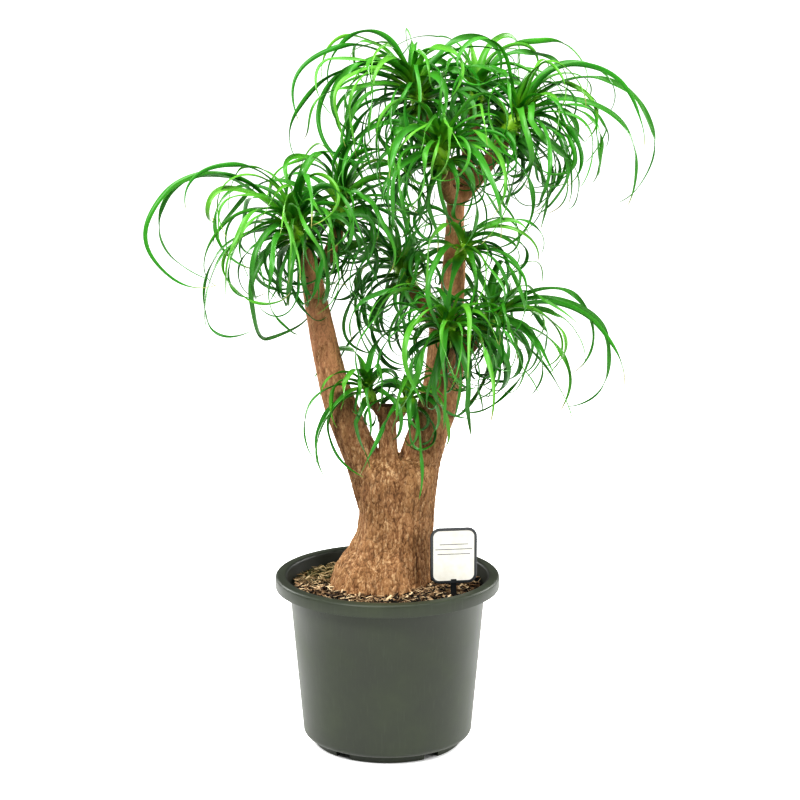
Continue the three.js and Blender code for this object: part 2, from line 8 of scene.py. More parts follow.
# %% Load the measured solids and keep their box
import math
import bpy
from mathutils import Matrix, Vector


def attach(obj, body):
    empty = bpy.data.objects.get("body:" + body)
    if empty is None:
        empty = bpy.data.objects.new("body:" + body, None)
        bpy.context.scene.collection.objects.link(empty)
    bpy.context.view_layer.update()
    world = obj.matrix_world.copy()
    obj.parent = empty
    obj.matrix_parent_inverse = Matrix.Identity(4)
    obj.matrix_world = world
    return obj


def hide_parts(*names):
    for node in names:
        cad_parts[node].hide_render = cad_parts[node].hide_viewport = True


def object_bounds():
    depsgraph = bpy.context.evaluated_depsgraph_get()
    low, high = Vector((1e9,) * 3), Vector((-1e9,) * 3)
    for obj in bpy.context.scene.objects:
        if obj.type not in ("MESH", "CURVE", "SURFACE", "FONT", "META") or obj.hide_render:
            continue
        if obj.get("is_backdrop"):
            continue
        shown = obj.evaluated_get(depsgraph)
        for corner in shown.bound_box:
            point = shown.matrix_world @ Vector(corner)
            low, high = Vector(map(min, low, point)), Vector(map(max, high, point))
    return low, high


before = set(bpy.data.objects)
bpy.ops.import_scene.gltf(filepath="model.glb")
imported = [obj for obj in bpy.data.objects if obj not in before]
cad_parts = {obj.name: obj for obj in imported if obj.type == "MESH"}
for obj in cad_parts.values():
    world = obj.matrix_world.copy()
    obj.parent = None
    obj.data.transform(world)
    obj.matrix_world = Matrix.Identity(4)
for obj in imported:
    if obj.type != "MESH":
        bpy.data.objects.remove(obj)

from types import SimpleNamespace

import bpy
import numpy as np
from mathutils import Vector, kdtree, noise

cad_low, cad_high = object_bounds()
MM = 0.001  # sizes below are in millimetres, and Blender's unit is the metre
NOISE_SEED = 5  # without a seed, noise_vector() gives other bends at every run
noise.seed_set(NOISE_SEED)
print("solids:", len(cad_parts), "box in mm:", [round(x / MM) for x in cad_high - cad_low])

# %% [markdown]
# ## Camera
#
# The plant was photographed from about three metres with a long lens, a little above its middle and
# looking slightly down. A long lens keeps the pot's rim a flat ellipse. A camera close by would open that
# ellipse up and make the front leaves look too big, so the distance matters as much as the angle.

# %% Place the camera
CAMERA_PLACE = (18, -3000, 1115)
CAMERA_DOWN = 11.6  # degrees
LENS, SENSOR = 98, 36  # mm

camera = bpy.data.objects.new("camera", bpy.data.cameras.new("camera"))
camera.data.lens = LENS
camera.data.sensor_width = SENSOR
camera.location = Vector(CAMERA_PLACE) * MM
camera.rotation_euler = (math.radians(90 - CAMERA_DOWN), 0, 0)
bpy.context.collection.objects.link(camera)
bpy.context.scene.camera = camera
print("camera at", [round(x, 3) for x in camera.location], "m, lens", LENS, "mm")

# %% [markdown]
# ## Helpers for materials
#
# Colours are picked on screen, so they are written as sRGB hex codes. Shaders add light in linear units,
# and one function turns one into the other. A second function adds a node with its settings and its links,
# so that each material below reads as a list of what it is made of.

# %% Colour and node helpers
def colour(code):
    """The linear colour of an sRGB hex code."""
    parts = [int(code[i : i + 2], 16) / 255 for i in (0, 2, 4)]
    return (*(c / 12.92 if c <= 0.04045 else ((c + 0.055) / 1.055) ** 2.4 for c in parts), 1)


def add(tree, kind, inputs=None, stops=(), **settings):
    """Adds a node. Each input is a value or another node's output, and stops are a ramp's colours."""
    node = tree.nodes.new("ShaderNode" + kind)
    for name, value in settings.items():
        setattr(node, name, value)
    for place, value in (inputs or {}).items():
        if isinstance(value, bpy.types.NodeSocket):
            tree.links.new(value, node.inputs[place])
        else:
            node.inputs[place].default_value = value
    for i, (place, code) in enumerate(stops):
        elements = node.color_ramp.elements
        element = elements[i] if i < 2 else elements.new(place)
        element.position = place
        element.color = colour(code)
    return node


def new_material(name):
    """An empty material and its node tree."""
    made = bpy.data.materials.new(name)
    made.use_nodes = True
    made.node_tree.nodes.clear()
    return made, made.node_tree


def per(millimetres):
    """The scale at which a texture has features of this size."""
    return 1 / (millimetres * MM)


# A Mix node's sockets for colours, by number, because its names repeat.
FACTOR, FIRST, SECOND, MIXED = 0, 6, 7, 2
print("white is", colour("ffffff"), "and a 10 mm pattern has scale", round(per(10)))

# %% [markdown]
# ## Helpers for meshes
#
# Most of this plant is grown along a line: limbs, shoots, leaves, bark chips. Each is a row of rings of
# points, skinned with quads and closed at both ends. Building that directly gives closed solids, and every
# ring can carry facts about itself, such as how old a leaf is, for its material to read.

# %% Rings to solids
def skin(rings, tip=None):
    """Points and faces of a closed solid through rings that are an array of (rings, corners, 3)."""
    count, sides = rings.shape[:2]
    here = np.arange(count * sides).reshape(count, sides)
    following = np.roll(here, -1, axis=1)
    quads = np.stack([here[:-1], following[:-1], following[1:], here[1:]], axis=2)
    faces = quads.reshape(-1, 4).tolist()
    faces.append(here[0, ::-1].tolist())
    points = rings.reshape(-1, 3)
    if tip is None:
        faces.append(here[-1].tolist())
    else:
        points = np.vstack([points, tip])
        last = count * sides
        faces += [[a, b, last] for a, b in zip(here[-1].tolist(), following[-1].tolist())]
    return points, faces


print("two rings of four corners make a box of", len(skin(np.zeros((2, 4, 3)))[1]), "faces")

# %% Heaps of solids, and pieces
class Heap:
    """Solids that will be one piece, with a number per point under each name in facts."""

    def __init__(self):
        self.points = []
        self.faces = []
        self.facts = {}
        self.count = 0

    def put(self, points, faces, **facts):
        self.faces += [[i + self.count for i in face] for face in faces]
        self.points.append(points)
        for name, value in facts.items():
            self.facts.setdefault(name, []).append(np.broadcast_to(value, len(points)))
        self.count += len(points)


def piece(name, heap, look, replaces=(), sharp=50):
    """Makes one object of a heap. It moves with the plant, and edges over this many degrees stay sharp."""
    mesh = bpy.data.meshes.new(name)
    mesh.from_pydata((np.vstack(heap.points) * MM).tolist(), [], heap.faces)
    for fact, values in heap.facts.items():
        layer = mesh.attributes.new(fact, "FLOAT", "POINT")
        layer.data.foreach_set("value", np.concatenate(values).astype(np.float32))
    mesh.materials.append(look)
    mesh.shade_smooth()
    mesh.set_sharp_from_angle(angle=math.radians(sharp))
    made = bpy.data.objects.new(name, mesh)
    bpy.context.collection.objects.link(made)
    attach(made, "root")
    if replaces:
        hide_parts(*replaces)
    print(f"{name}: {len(mesh.vertices)} points, {len(mesh.polygons)} faces")
    return made


def evaluated(made):
    """A copy of an object's mesh with its modifiers applied."""
    bpy.context.view_layer.update()
    graph = bpy.context.evaluated_depsgraph_get()
    return bpy.data.meshes.new_from_object(made.evaluated_get(graph))


print("an empty heap has", Heap().count, "points")

# %% Directions, shares and curves
def unit(vectors):
    """Vectors of length one."""
    return vectors / np.linalg.norm(vectors, axis=-1, keepdims=True)


def mix(low, high, share):
    return low + (high - low) * share


def eased(low, high, value):
    """0 at low and 1 at high, with a soft start and end between them."""
    share = np.clip((value - low) / (high - low), 0, 1)
    return share * share * (3 - 2 * share)


def through(points, steps):
    """A smooth curve through points of any dimension, with this many steps between neighbours."""
    points = np.asarray(points, float)
    padded = np.vstack([2 * points[0] - points[1], points, 2 * points[-1] - points[-2]])
    made = []
    for before, start, end, after in zip(padded, padded[1:], padded[2:], padded[3:]):
        for t in np.arange(steps) / steps:
            pull = (end - before) * t + (2 * before - 5 * start + 4 * end - after) * t**2
            made.append(start + 0.5 * (pull + (3 * start - before - 3 * end + after) * t**3))
    return np.array([*made, points[-1]])


print("a quarter of the way along, easing has done", round(float(eased(0, 1, 0.25)), 2), "of it")

# %% [markdown]
# ## The pot
#
# The pot is an injection-moulded nursery pot. It could be drawn as a tapered tube with a thicker top, but
# then the light would miss the soft edges that say "moulded". So its wall, turned-over rim, inside and
# foot are one profile, turned round the axis, with real roundings. Afterwards five drain cuts are taken out
# of the ring that it stands on, as the mould leaves them.

# %% The pot's sizes
POT_HEIGHT = 247
RIM_RADIUS = 160
MOUTH_RADIUS = 143
RIM_ROUND = 4.5
RIM_DROP = 18  # the rim's lip hangs this far down
WALL = 2.6
WALL_TOP_RADIUS = 140
WALL_FOOT_RADIUS = 121.5
CORNER_HEIGHT = 20
CORNER_ROUND = 9
FOOT_RADIUS = 106
FOOT_WIDTH = 7
FLOOR_LIFT = 8
FLOOR_ROUND = 6
PAD_RADIUS = 28
FOOT_EDGE = 1  # the rounding of the edges that stand on the floor
STACKING_STEP = 0.9  # a shoulder under the rim, which stops stacked pots from jamming
STACKING_DEPTH = 14
WALL_RINGS = (90, 160)  # heights of the rings up the outside of the wall
INSIDE_RING = 120
POT_SIDES = 180
print("the pot is", 2 * RIM_RADIUS, "mm wide over its rim and", POT_HEIGHT, "mm high")

# %% Roundings, the wall, and turning
def rounded(radius, height, size, start, end, steps=6):
    """Points round a corner of a profile, between two angles in degrees."""
    angles = np.radians(np.linspace(start, end, steps + 1))
    return [(radius + size * math.cos(a), height + size * math.sin(a)) for a in angles]


def wall_radius(height):
    """The outer radius of the wall between its bottom corner and the rim."""
    share = (height - CORNER_HEIGHT) / (POT_HEIGHT - RIM_DROP - CORNER_HEIGHT)
    return mix(WALL_FOOT_RADIUS, WALL_TOP_RADIUS, share)


def turned(profile, sides):
    """A closed solid of a closed profile of (radius, height) points, turned round the axis."""
    angles = np.arange(sides) / sides * 2 * math.pi
    ring = np.stack([np.cos(angles), np.sin(angles), np.zeros(sides)], axis=1)
    radii, heights = np.array(profile).T
    return skin(ring * radii[:, None, None] + np.array([0, 0, 1]) * heights[:, None, None])


print("half way up, the wall's radius is", round(wall_radius(POT_HEIGHT / 2), 1), "mm")

# %% The pot's profile
lip = POT_HEIGHT - RIM_DROP
flange = POT_HEIGHT - WALL - 1
step = lip - STACKING_DEPTH
inside_foot = FOOT_RADIUS - FOOT_WIDTH
pot_profile = [
    *rounded(PAD_RADIUS, FOOT_EDGE, FOOT_EDGE, -90, 0, 3),
    (PAD_RADIUS + FOOT_EDGE, FLOOR_LIFT),
    (inside_foot - FOOT_EDGE, FLOOR_LIFT),
    *rounded(inside_foot + FOOT_EDGE, FOOT_EDGE, FOOT_EDGE, 180, 270, 3),
    *rounded(FOOT_RADIUS - FOOT_EDGE, FOOT_EDGE, FOOT_EDGE, -90, 0, 3),
    (FOOT_RADIUS + FOOT_EDGE, FLOOR_LIFT + 0.6),
    *rounded(WALL_FOOT_RADIUS - CORNER_ROUND, CORNER_HEIGHT, CORNER_ROUND, -70, 0, 8),
    *((wall_radius(height), height) for height in WALL_RINGS),
    (wall_radius(step), step),
    (wall_radius(step) + STACKING_STEP, step + 2.5),
    (WALL_TOP_RADIUS + STACKING_STEP, lip),
    (MOUTH_RADIUS + WALL, flange),
    (RIM_RADIUS - WALL, flange),
    *rounded(RIM_RADIUS - WALL / 2, lip + 1, WALL / 2, 180, 360, 4),
    *rounded(RIM_RADIUS - RIM_ROUND, POT_HEIGHT - RIM_ROUND, RIM_ROUND, 0, 82, 6),
    *rounded(MOUTH_RADIUS + RIM_ROUND, POT_HEIGHT - RIM_ROUND, RIM_ROUND, 95, 180, 6),
    (WALL_TOP_RADIUS - WALL, lip - WALL),
    (wall_radius(INSIDE_RING) - WALL, INSIDE_RING),
    (WALL_FOOT_RADIUS - WALL, CORNER_HEIGHT),
    (WALL_FOOT_RADIUS - WALL - FLOOR_ROUND, FLOOR_LIFT + WALL),
    (PAD_RADIUS, FLOOR_LIFT + WALL),
]
print("the pot's profile has", len(pot_profile), "points")

# %% [markdown]
# ### Moulded polypropylene
#
# Nursery pots are made of recycled polypropylene, dyed grey-green and moulded against sandblasted steel.
# The steel leaves a fine grain, so the sheen is broad and satin, and the recycled pellets never mix fully,
# so the colour drifts a little. Handling leaves faint upright scuffs. A glossy or an even wall would look
# like a computer's idea of plastic.

# %% Material: moulded polypropylene
INNER_SHADE_FROM = 200  # the wall's inside is painted with shade above this height

moulded_polypropylene, tree = new_material("moulded_polypropylene")
where = add(tree, "TexCoord").outputs["Object"]
drift = add(tree, "TexNoise", {"Vector": where, "Scale": per(60), "Detail": 3.0})
shades = [(0.3, "2f3428"), (0.55, "363c2e"), (0.8, "3f4635")]
tint = add(tree, "ValToRGB", {"Fac": drift.outputs["Fac"]}, stops=shades)
upright = add(tree, "Mapping", {"Vector": where, "Scale": (1, 1, 0.06)})
scuffs = add(tree, "TexNoise", {"Vector": upright.outputs["Vector"], "Scale": per(3), "Detail": 5.0})
scuffed = add(tree, "MapRange", {0: scuffs.outputs["Fac"], 1: 0.56, 2: 0.78, 3: 0.0, 4: 0.12})
dusty = add(tree, "Mix", {FACTOR: scuffed.outputs[0], FIRST: tint.outputs["Color"],
                          SECOND: colour("5c6352")}, data_type="RGBA")
# Inside, near the mouth, the wall is painted darker: painted shade in the pot's mouth. A face looks inwards
# where its normal meets the axis.
outwards = add(tree, "Mapping", {"Vector": where, "Scale": (1, 1, 0)})
facing = add(tree, "NewGeometry")
turned_in = add(tree, "VectorMath", {0: facing.outputs["Normal"], 1: outwards.outputs["Vector"]},
                operation="DOT_PRODUCT")
inside = add(tree, "MapRange", {0: turned_in.outputs["Value"], 1: -0.01, 2: -0.08, 3: 0.0, 4: 0.7})
height = add(tree, "SeparateXYZ", {"Vector": where})
above_mix = add(tree, "MapRange", {0: height.outputs["Z"], 1: INNER_SHADE_FROM * MM, 2: (INNER_SHADE_FROM + 1) * MM})
inner_shade = add(tree, "Math", {0: inside.outputs[0], 1: above_mix.outputs[0]}, operation="MULTIPLY")
inner_shaded = add(tree, "Mix", {FACTOR: inner_shade.outputs[0], FIRST: dusty.outputs[MIXED],
                            SECOND: colour("14180f")}, data_type="RGBA")
sheen = add(tree, "MapRange", {0: drift.outputs["Fac"], 3: 0.4, 4: 0.56})
# A sandblast grain is near 0.15 mm across. It is drawn at 0.7 mm so that it shows.
grain = add(tree, "TexNoise", {"Vector": where, "Scale": per(0.7), "Detail": 2.0})
grained = add(tree, "Bump", {"Strength": 0.12, "Distance": 0.2 * MM, "Height": grain.outputs["Fac"]})
plastic = add(tree, "BsdfPrincipled", {
    "Base Color": inner_shaded.outputs[MIXED],
    "Roughness": sheen.outputs[0],
    "Normal": grained.outputs["Normal"],
    "IOR": 1.49,
})
add(tree, "OutputMaterial", {"Surface": plastic.outputs[0]})
print(moulded_polypropylene.name, "has", len(tree.nodes), "nodes")

# %% The pot with its drain cuts
DRAINS = 5
DRAIN_SIZE = (24, 20, 25)  # along the ring, across it, and twice the height it cuts
DRAIN_TURN = 36  # degrees from the front
POT_EDGE = 38  # degrees: the pot's corners that are sharper than this stay sharp

pot_heap = Heap()
points, faces = turned(pot_profile, POT_SIDES)
pot_heap.put(points, faces)
pot = piece("pot_shell", pot_heap, moulded_polypropylene, ["pot"], sharp=POT_EDGE)

cutters = Heap()
corners = np.array([(-1, -1), (1, -1), (1, 1), (-1, 1)]) / 2
for i in range(DRAINS):
    turn = math.radians(DRAIN_TURN + 360 / DRAINS * i)
    across = np.array([math.cos(turn), math.sin(turn)])
    inwards = np.array([-math.sin(turn), math.cos(turn)])
    flat = corners[:, :1] * DRAIN_SIZE[0] * across
    flat = flat + (corners[:, 1:] * DRAIN_SIZE[1] - FOOT_RADIUS) * inwards
    rings = [np.hstack([flat, np.full((4, 1), z)]) for z in (-DRAIN_SIZE[2] / 2, DRAIN_SIZE[2] / 2)]
    cutters.put(*skin(np.array(rings)))
cutter = piece("drain_cutters", cutters, moulded_polypropylene)
cut = pot.modifiers.new("drains", "BOOLEAN")
cut.object = cutter
cut.operation = "DIFFERENCE"
cut.solver = "MANIFOLD"
uncut, pot.data = pot.data, evaluated(pot)
pot.modifiers.clear()
bpy.data.meshes.remove(uncut)
bpy.data.objects.remove(cutter)
pot.data.set_sharp_from_angle(angle=math.radians(POT_EDGE))
print("pot with", DRAINS, "drain cuts:", len(pot.data.polygons), "faces")

# %% [markdown]
# ## The potting mix
#
# Nurseries grow these palms in composted bark with fibre and some peat, because the swollen base rots in
# wet soil. One bumpy sheet would read as mud. So there are two pieces: a rough bed, which fills the pot,
# and thousands of loose chips and strands laid on it, each with its own shade.

# %% Where the surface of the mix is
GAP = 0.35  # between the mix and the wall
SOIL_TOP = 228
SOIL_MOUND = 5
SOIL_SLOPE = [(77, 1), (97, 0.6), (117, 0.2), (137, 0)]  # radius, share of the mound
SOIL_LUMPS = [(22, 3, 1.6), (7, 8, 1.1)]  # width, layer of the noise, height


def soil_height(x, y):
    """The height of the mix, with lumps of two sizes."""
    radius = math.hypot(x, y)
    rise = SOIL_MOUND * np.interp(radius, *zip(*SOIL_SLOPE))
    lumps = sum(tall * noise.noise((x / wide, y / wide, layer)) for wide, layer, tall in SOIL_LUMPS)
    return SOIL_TOP + rise + lumps


def mix_inside(height):
    """The radius of the mix at a height, just inside the pot's wall."""
    return wall_radius(height) - WALL - GAP


print("the mix rises to", round(soil_height(80, 0)), "mm beside the trunk")

# %% Material: composted bark
composted_bark, tree = new_material("composted_bark")
where = add(tree, "TexCoord").outputs["Object"]
shade = add(tree, "Attribute", attribute_name="shade")
crumbs = add(tree, "TexNoise", {"Vector": where, "Scale": per(2.5), "Detail": 6.0})
varied = add(tree, "Math", {0: crumbs.outputs["Fac"], 1: 0.45}, operation="MULTIPLY")
darker = add(tree, "Math", {0: shade.outputs["Fac"], 1: 0.26}, operation="SUBTRACT")
level = add(tree, "Math", {0: darker.outputs[0], 1: varied.outputs[0]}, operation="ADD")
# From wet peat through bark to the pale, dry fibres on top.
browns = [(0.05, "0b0704"), (0.2, "2a1e14"), (0.38, "665038"), (0.58, "9c8062"), (0.8, "dcc6a2")]
brown = add(tree, "ValToRGB", {"Fac": level.outputs[0]}, stops=browns)
# Algae start where the mix stays damp, behind the trunk on the left.
damp = add(tree, "Mapping", {"Vector": where, "Location": (0.085, -0.05, 0), "Scale": (1, 1, 0)})
patches = add(tree, "TexNoise", {"Vector": where, "Scale": per(14), "Detail": 3.0})
near = add(tree, "VectorMath", {0: damp.outputs["Vector"]}, operation="LENGTH")
closeness = add(tree, "MapRange", {0: near.outputs["Value"], 1: 0.075, 2: 0.02, 3: 0.0, 4: 0.5})
algae = add(tree, "Math", {0: closeness.outputs[0], 1: patches.outputs["Fac"]}, operation="MULTIPLY")
green = add(tree, "Mix", {FACTOR: algae.outputs[0], FIRST: brown.outputs["Color"],
                          SECOND: colour("8a9050")}, data_type="RGBA")
rough = add(tree, "Bump", {"Strength": 0.7, "Distance": 0.8 * MM, "Height": crumbs.outputs["Fac"]})
bark_mix = add(tree, "BsdfPrincipled", {
    "Base Color": green.outputs[MIXED],
    "Roughness": 0.92,
    "Normal": rough.outputs["Normal"],
    "IOR": 1.5,
})
add(tree, "OutputMaterial", {"Surface": bark_mix.outputs[0]})
print(composted_bark.name, "has", len(tree.nodes), "nodes")

# %% The bed
BED_SIDES = 220
BED_RINGS = 60

angles = np.arange(BED_SIDES) / BED_SIDES * 2 * math.pi
circle = np.stack([np.cos(angles), np.sin(angles), np.zeros(BED_SIDES)], axis=1)
bottom = FLOOR_LIFT + WALL + GAP
sides = [(mix_inside(CORNER_HEIGHT) - FLOOR_ROUND, bottom), (mix_inside(CORNER_HEIGHT), CORNER_HEIGHT)]
rings = [circle * radius + (0, 0, height) for radius, height in sides]
for radius in np.linspace(mix_inside(SOIL_TOP), 4, BED_RINGS):
    ring = circle * radius
    ring[:, 2] = [soil_height(x, y) for x, y, _ in ring]
    rings.append(ring)
bed = Heap()
points, faces = skin(np.array(rings))
bed.put(points, faces, shade=0.0)
piece("potting_bed", bed, composted_bark, ["soil"])

# %% [markdown]
# ### Chips and strands
#
# A bark chip is flat, longer than wide, and broken at both ends. Each is a short row of uneven rings. A
# strand is a thin bent one. Random draws are seeded, so the same chips lie in the same places every time.

# %% Shapes of chips and strands
CHIP_SIDES = 6


def lying(rng, length, width, thickness, sections, bend):
    """An uneven chip or strand, lying flat at the origin along X."""
    rings = []
    for i in range(sections):
        share = i / (sections - 1)
        fullness = 0.45 + 0.55 * math.sin(math.pi * mix(0.15, 0.85, share))
        turns = (np.arange(CHIP_SIDES) + rng.uniform(-0.2, 0.2, CHIP_SIDES)) / CHIP_SIDES * 2 * math.pi
        y = np.cos(turns) * width / 2 * fullness * rng.uniform(0.75, 1.1, CHIP_SIDES)
        z = np.sin(turns) * thickness / 2 * fullness + bend * length * (share - 0.5) ** 2
        y = y + bend * length * math.sin(2.6 * share)
        rings.append(np.stack([np.full(CHIP_SIDES, (share - 0.5) * length), y, z], axis=1))
    return skin(np.array(rings))


def turn_about(points, yaw, pitch, roll):
    """Points turned by roll about X, then pitch about Y, then yaw about Z."""
    for angle, first, second in ((roll, 1, 2), (pitch, 2, 0), (yaw, 0, 1)):
        c, s = math.cos(angle), math.sin(angle)
        a, b = points[:, first].copy(), points[:, second].copy()
        points[:, first] = c * a - s * b
        points[:, second] = s * a + c * b
    return points


print("a chip of three rings has", 3 * CHIP_SIDES, "corners")

# %% Lay the chips and strands
CHIPS, STRANDS = 2300, 420
CHIP_SEED = 7
CHIP_LENGTH, CHIP_WIDTH, CHIP_THICK = (7, 21), (2.0, 4.6), (1.2, 2.4)  # the least and the most
STRAND_LENGTH, STRAND_WIDTH, STRAND_THICK = (12, 30), 1.0, 0.9
STRAND_BEND = 0.25  # as a share of the strand's length
CHIP_TILT, CHIP_ROLL = 0.26, 0.4  # radians, as spreads
CHIP_LIFT = 5.0  # how high over the bed the top ones lie
TRUNK_FOOT = (-12.5, 0, 74.5, 76)  # middle in X and Y, half width and half depth at the surface
FOOT_SHARE = 0.97  # no chip lies further in than this share of the foot

rng = np.random.default_rng(CHIP_SEED)
chips = Heap()
for i in range(CHIPS + STRANDS):
    is_strand = i >= CHIPS
    radius = mix_inside(SOIL_TOP) * math.sqrt(rng.uniform(0.18, 0.98))
    turn = rng.uniform(0, 2 * math.pi)
    x, y = radius * math.cos(turn), radius * math.sin(turn)
    from_trunk = math.hypot((x - TRUNK_FOOT[0]) / TRUNK_FOOT[2], (y - TRUNK_FOOT[1]) / TRUNK_FOOT[3])
    size = rng.uniform(0, 1) ** 2
    yaw, tilt, roll = rng.uniform(0, 6.28), rng.normal(0, CHIP_TILT), rng.normal(0, CHIP_ROLL)
    shade = rng.beta(1.2, 1.6)
    if from_trunk < FOOT_SHARE:
        continue
    if is_strand:
        length = mix(*STRAND_LENGTH, size)
        shape = lying(rng, length, STRAND_WIDTH, STRAND_THICK, 7, rng.uniform(-STRAND_BEND, STRAND_BEND))
        shade = mix(0.45, 1.0, shade)
    else:
        length = mix(*CHIP_LENGTH, size)
        shape = lying(rng, length, mix(*CHIP_WIDTH, size), rng.uniform(*CHIP_THICK), 3, 0.02)
    reach = mix_inside(SOIL_TOP) - 1 - length / 2
    if radius > reach:
        x, y = x * reach / radius, y * reach / radius
    points = turn_about(shape[0], yaw, tilt, roll)
    chips.put(points + (x, y, soil_height(x, y) + rng.uniform(0, CHIP_LIFT)), shape[1], shade=shade)
piece("bark_chips", chips, composted_bark, sharp=30)

# %% [markdown]
# ## The trunk
#
# One plant grew all of this wood: the swollen base, the limbs left after pruning, the thin stem that one
# limb made later, and the short shoots under each head of leaves. Separate tubes would show a seam at every
# fork. So the shapes are drawn as tubes, filled with small cubes into one body, and smoothed, which rounds
# the forks the way growing wood does.

# %% Base, limbs and heads, as measured
BASE_SECTIONS = [  # height, middle in X, half width in X, half depth in Y
    (231, -12.5, 74.5, 76),
    (241, -10, 71, 73),
    (254, -8, 67.5, 69),
    (270, -3.5, 63.5, 64),
    (288, 4, 57.5, 56),
    (312, 10.5, 53, 50),
    (345, 13.5, 53.5, 47),
    (375, 12, 58.5, 45.5),
    (403, 9.5, 63, 40),
    (418, 10, 52, 32),
]
BURIED_DEPTH = 75
BURIED_SHARE = 0.72  # the base's width down there, against its width at the surface
LIMBS = {  # the line it grows along, and its radius at the start and at the cut
    "left": ([(-8, -2, 340), (-22, -3, 376), (-41, -6, 430), (-67, -10, 498), (-84, -10, 563),
              (-97, -8, 629), (-108, -4, 692)], 30, 14.5),
    "stub": ([(4, -22, 380), (2, -18, 425), (-1, -16, 496)], 17, 11.5),
    "right": ([(34, 2, 372), (48, 4, 417), (66, 7, 473), (79, 10, 527), (85, 12, 600)], 29, 27),
    "stem": ([(86, 14, 570), (93, 12, 680), (93, 10, 723), (96, 10, 800)], 17, 12.5),
}


def head_of(name, start, seat, lean, radius, count, length, spread):
    """A head of leaves: its shoot's two ends, the way it points, and the rule for its leaves."""
    axis = unit(np.array(lean, float))
    start, seat = np.array(start, float), np.array(seat, float)
    return SimpleNamespace(name=name, start=start, seat=seat, axis=axis, radius=radius, count=count,
                           length=length, spread=spread)


HEADS = [
    head_of("left_front", (-107, -3, 680), (-116, -16, 716), (-0.3, -0.35, 0.9), 10, 26, 266, 100),
    head_of("left_back", (-106, -2, 680), (-70, 30, 738), (0.15, 0.1, 1), 9.5, 22, 250, 92),
    head_of("crown_left", (95, 10, 785), (50, 14, 900), (-0.35, -0.1, 0.9), 10, 24, 250, 98),
    head_of("crown_front", (96, 8, 780), (76, -44, 826), (-0.1, -0.5, 0.85), 9.5, 20, 235, 100),
    head_of("crown_back", (96, 12, 785), (122, 50, 892), (0.1, 0.35, 0.95), 10, 24, 245, 98),
    head_of("crown_right", (97, 10, 780), (160, 0, 864), (0.5, -0.1, 0.85), 10, 23, 255, 96),
    head_of("stem_side", (93, 8, 690), (100, -24, 704), (0.2, -0.7, 0.6), 7.5, 13, 205, 100),
    head_of("behind", (84, 16, 575), (36, 50, 650), (-0.5, 0.3, 0.8), 9.5, 22, 240, 104),
    head_of("limb_front", (84, 0, 566), (84, -46, 588), (0, -0.6, 0.8), 9.5, 20, 215, 104),
    head_of("limb_right", (92, 13, 560), (124, 15, 582), (0.6, 0.1, 0.8), 10, 22, 230, 100),
    head_of("stub_left", (-2, -17, 478), (-20, -20, 503), (-0.35, -0.3, 0.9), 6.5, 14, 165, 102),
    head_of("stub_right", (1, -17, 474), (22, -22, 490), (0.4, -0.35, 0.85), 6.5, 14, 155, 102),
]
print(len(LIMBS), "limbs carry", len(HEADS), "heads")

# %% Rings and lines of wood
BASE_SIDES = 96
SHOOT_STEPS = 14


def base_ring(height, middle, half_width, half_depth):
    """A cross-section of the base, with the shallow flutes that run up it."""
    angle = np.arange(BASE_SIDES) / BASE_SIDES * 2 * math.pi
    flute = 1 + 0.03 * np.sin(5 * angle + 0.9) + 0.02 * np.sin(8 * angle + height / 40)
    x = middle + half_width * flute * np.cos(angle)
    y = half_depth * flute * np.sin(angle)
    return np.stack([x, y, np.full(BASE_SIDES, float(height))], axis=1)


def buried_ring(depth):
    """The base this far below the surface of the mix."""
    height, middle, half_width, half_depth = BASE_SECTIONS[0]
    share = mix(1, BURIED_SHARE, depth / BURIED_DEPTH)
    ring = base_ring(height, middle, half_width * share, half_depth * share)
    ring[:, 2] = height - depth
    return ring


def tube(line, radii, sides, waver=0.0):
    """Rings round a line, square to it. Waver makes them a little uneven, as wood is."""
    along = unit(np.gradient(line, axis=0))
    across = unit(np.cross((0, 1, 0.02), along))
    over = np.cross(along, across)
    angle = np.arange(sides) / sides * 2 * math.pi
    run = np.linspace(0, 1, len(line))[:, None]
    uneven = 1 + waver * (np.sin(2 * angle + 5 * run) + 0.7 * np.sin(3 * angle - 8 * run + 1))
    reach = np.asarray(radii, float)[:, None] * uneven
    return (line[:, None, :] + reach[..., None] * np.cos(angle)[:, None] * across[:, None, :]
            + reach[..., None] * np.sin(angle)[:, None] * over[:, None, :])


def shoot_line(head):
    """The line of a shoot. It bends round until it points the way its head does."""
    share = np.linspace(0, 1, SHOOT_STEPS + 1)[:, None]
    bend = head.seat - head.axis * 0.6 * np.linalg.norm(head.seat - head.start)
    return head.start * (1 - share) ** 2 + 2 * bend * share * (1 - share) + head.seat * share**2


print("the base's foot is", round(np.ptp(base_ring(*BASE_SECTIONS[0])[:, 0])), "mm wide")

# %% Tubes of wood
LIMB_SIDES, SHOOT_SIDES = 40, 24
LIMB_WAVER = 0.025  # how uneven a limb is, as a share of its radius
SHOOT_FLARE = 1.15  # how thick a shoot starts, against its end

wood = Heap()
sections = through(BASE_SECTIONS, 8)
depths = np.linspace(BURIED_DEPTH, 1, 10)
wood.put(*skin(np.array([*(buried_ring(d) for d in depths), *(base_ring(*s) for s in sections)])))
for path, start, end in LIMBS.values():
    line = through(path, 10)
    wood.put(*skin(tube(line, np.linspace(start, end, len(line)), LIMB_SIDES, LIMB_WAVER)))
for head in HEADS:
    line = shoot_line(head)
    wood.put(*skin(tube(line, head.radius * np.linspace(SHOOT_FLARE, 1, len(line)), SHOOT_SIDES)))
print("tubes of wood:", len(wood.faces), "faces before they are made one")

# %% [markdown]
# ### Cork
#
# As the base swells, its cork splits into upright plates with dark cracks between them. The thin stems have
# only fine, long fissures. A bump map alone would leave the outline smooth as a pipe, so the plates are
# real relief: each point of the body moves along its normal by a cell pattern that is stretched upright.
# Each point also remembers how deep in a crack it lies, and the material darkens it by that.

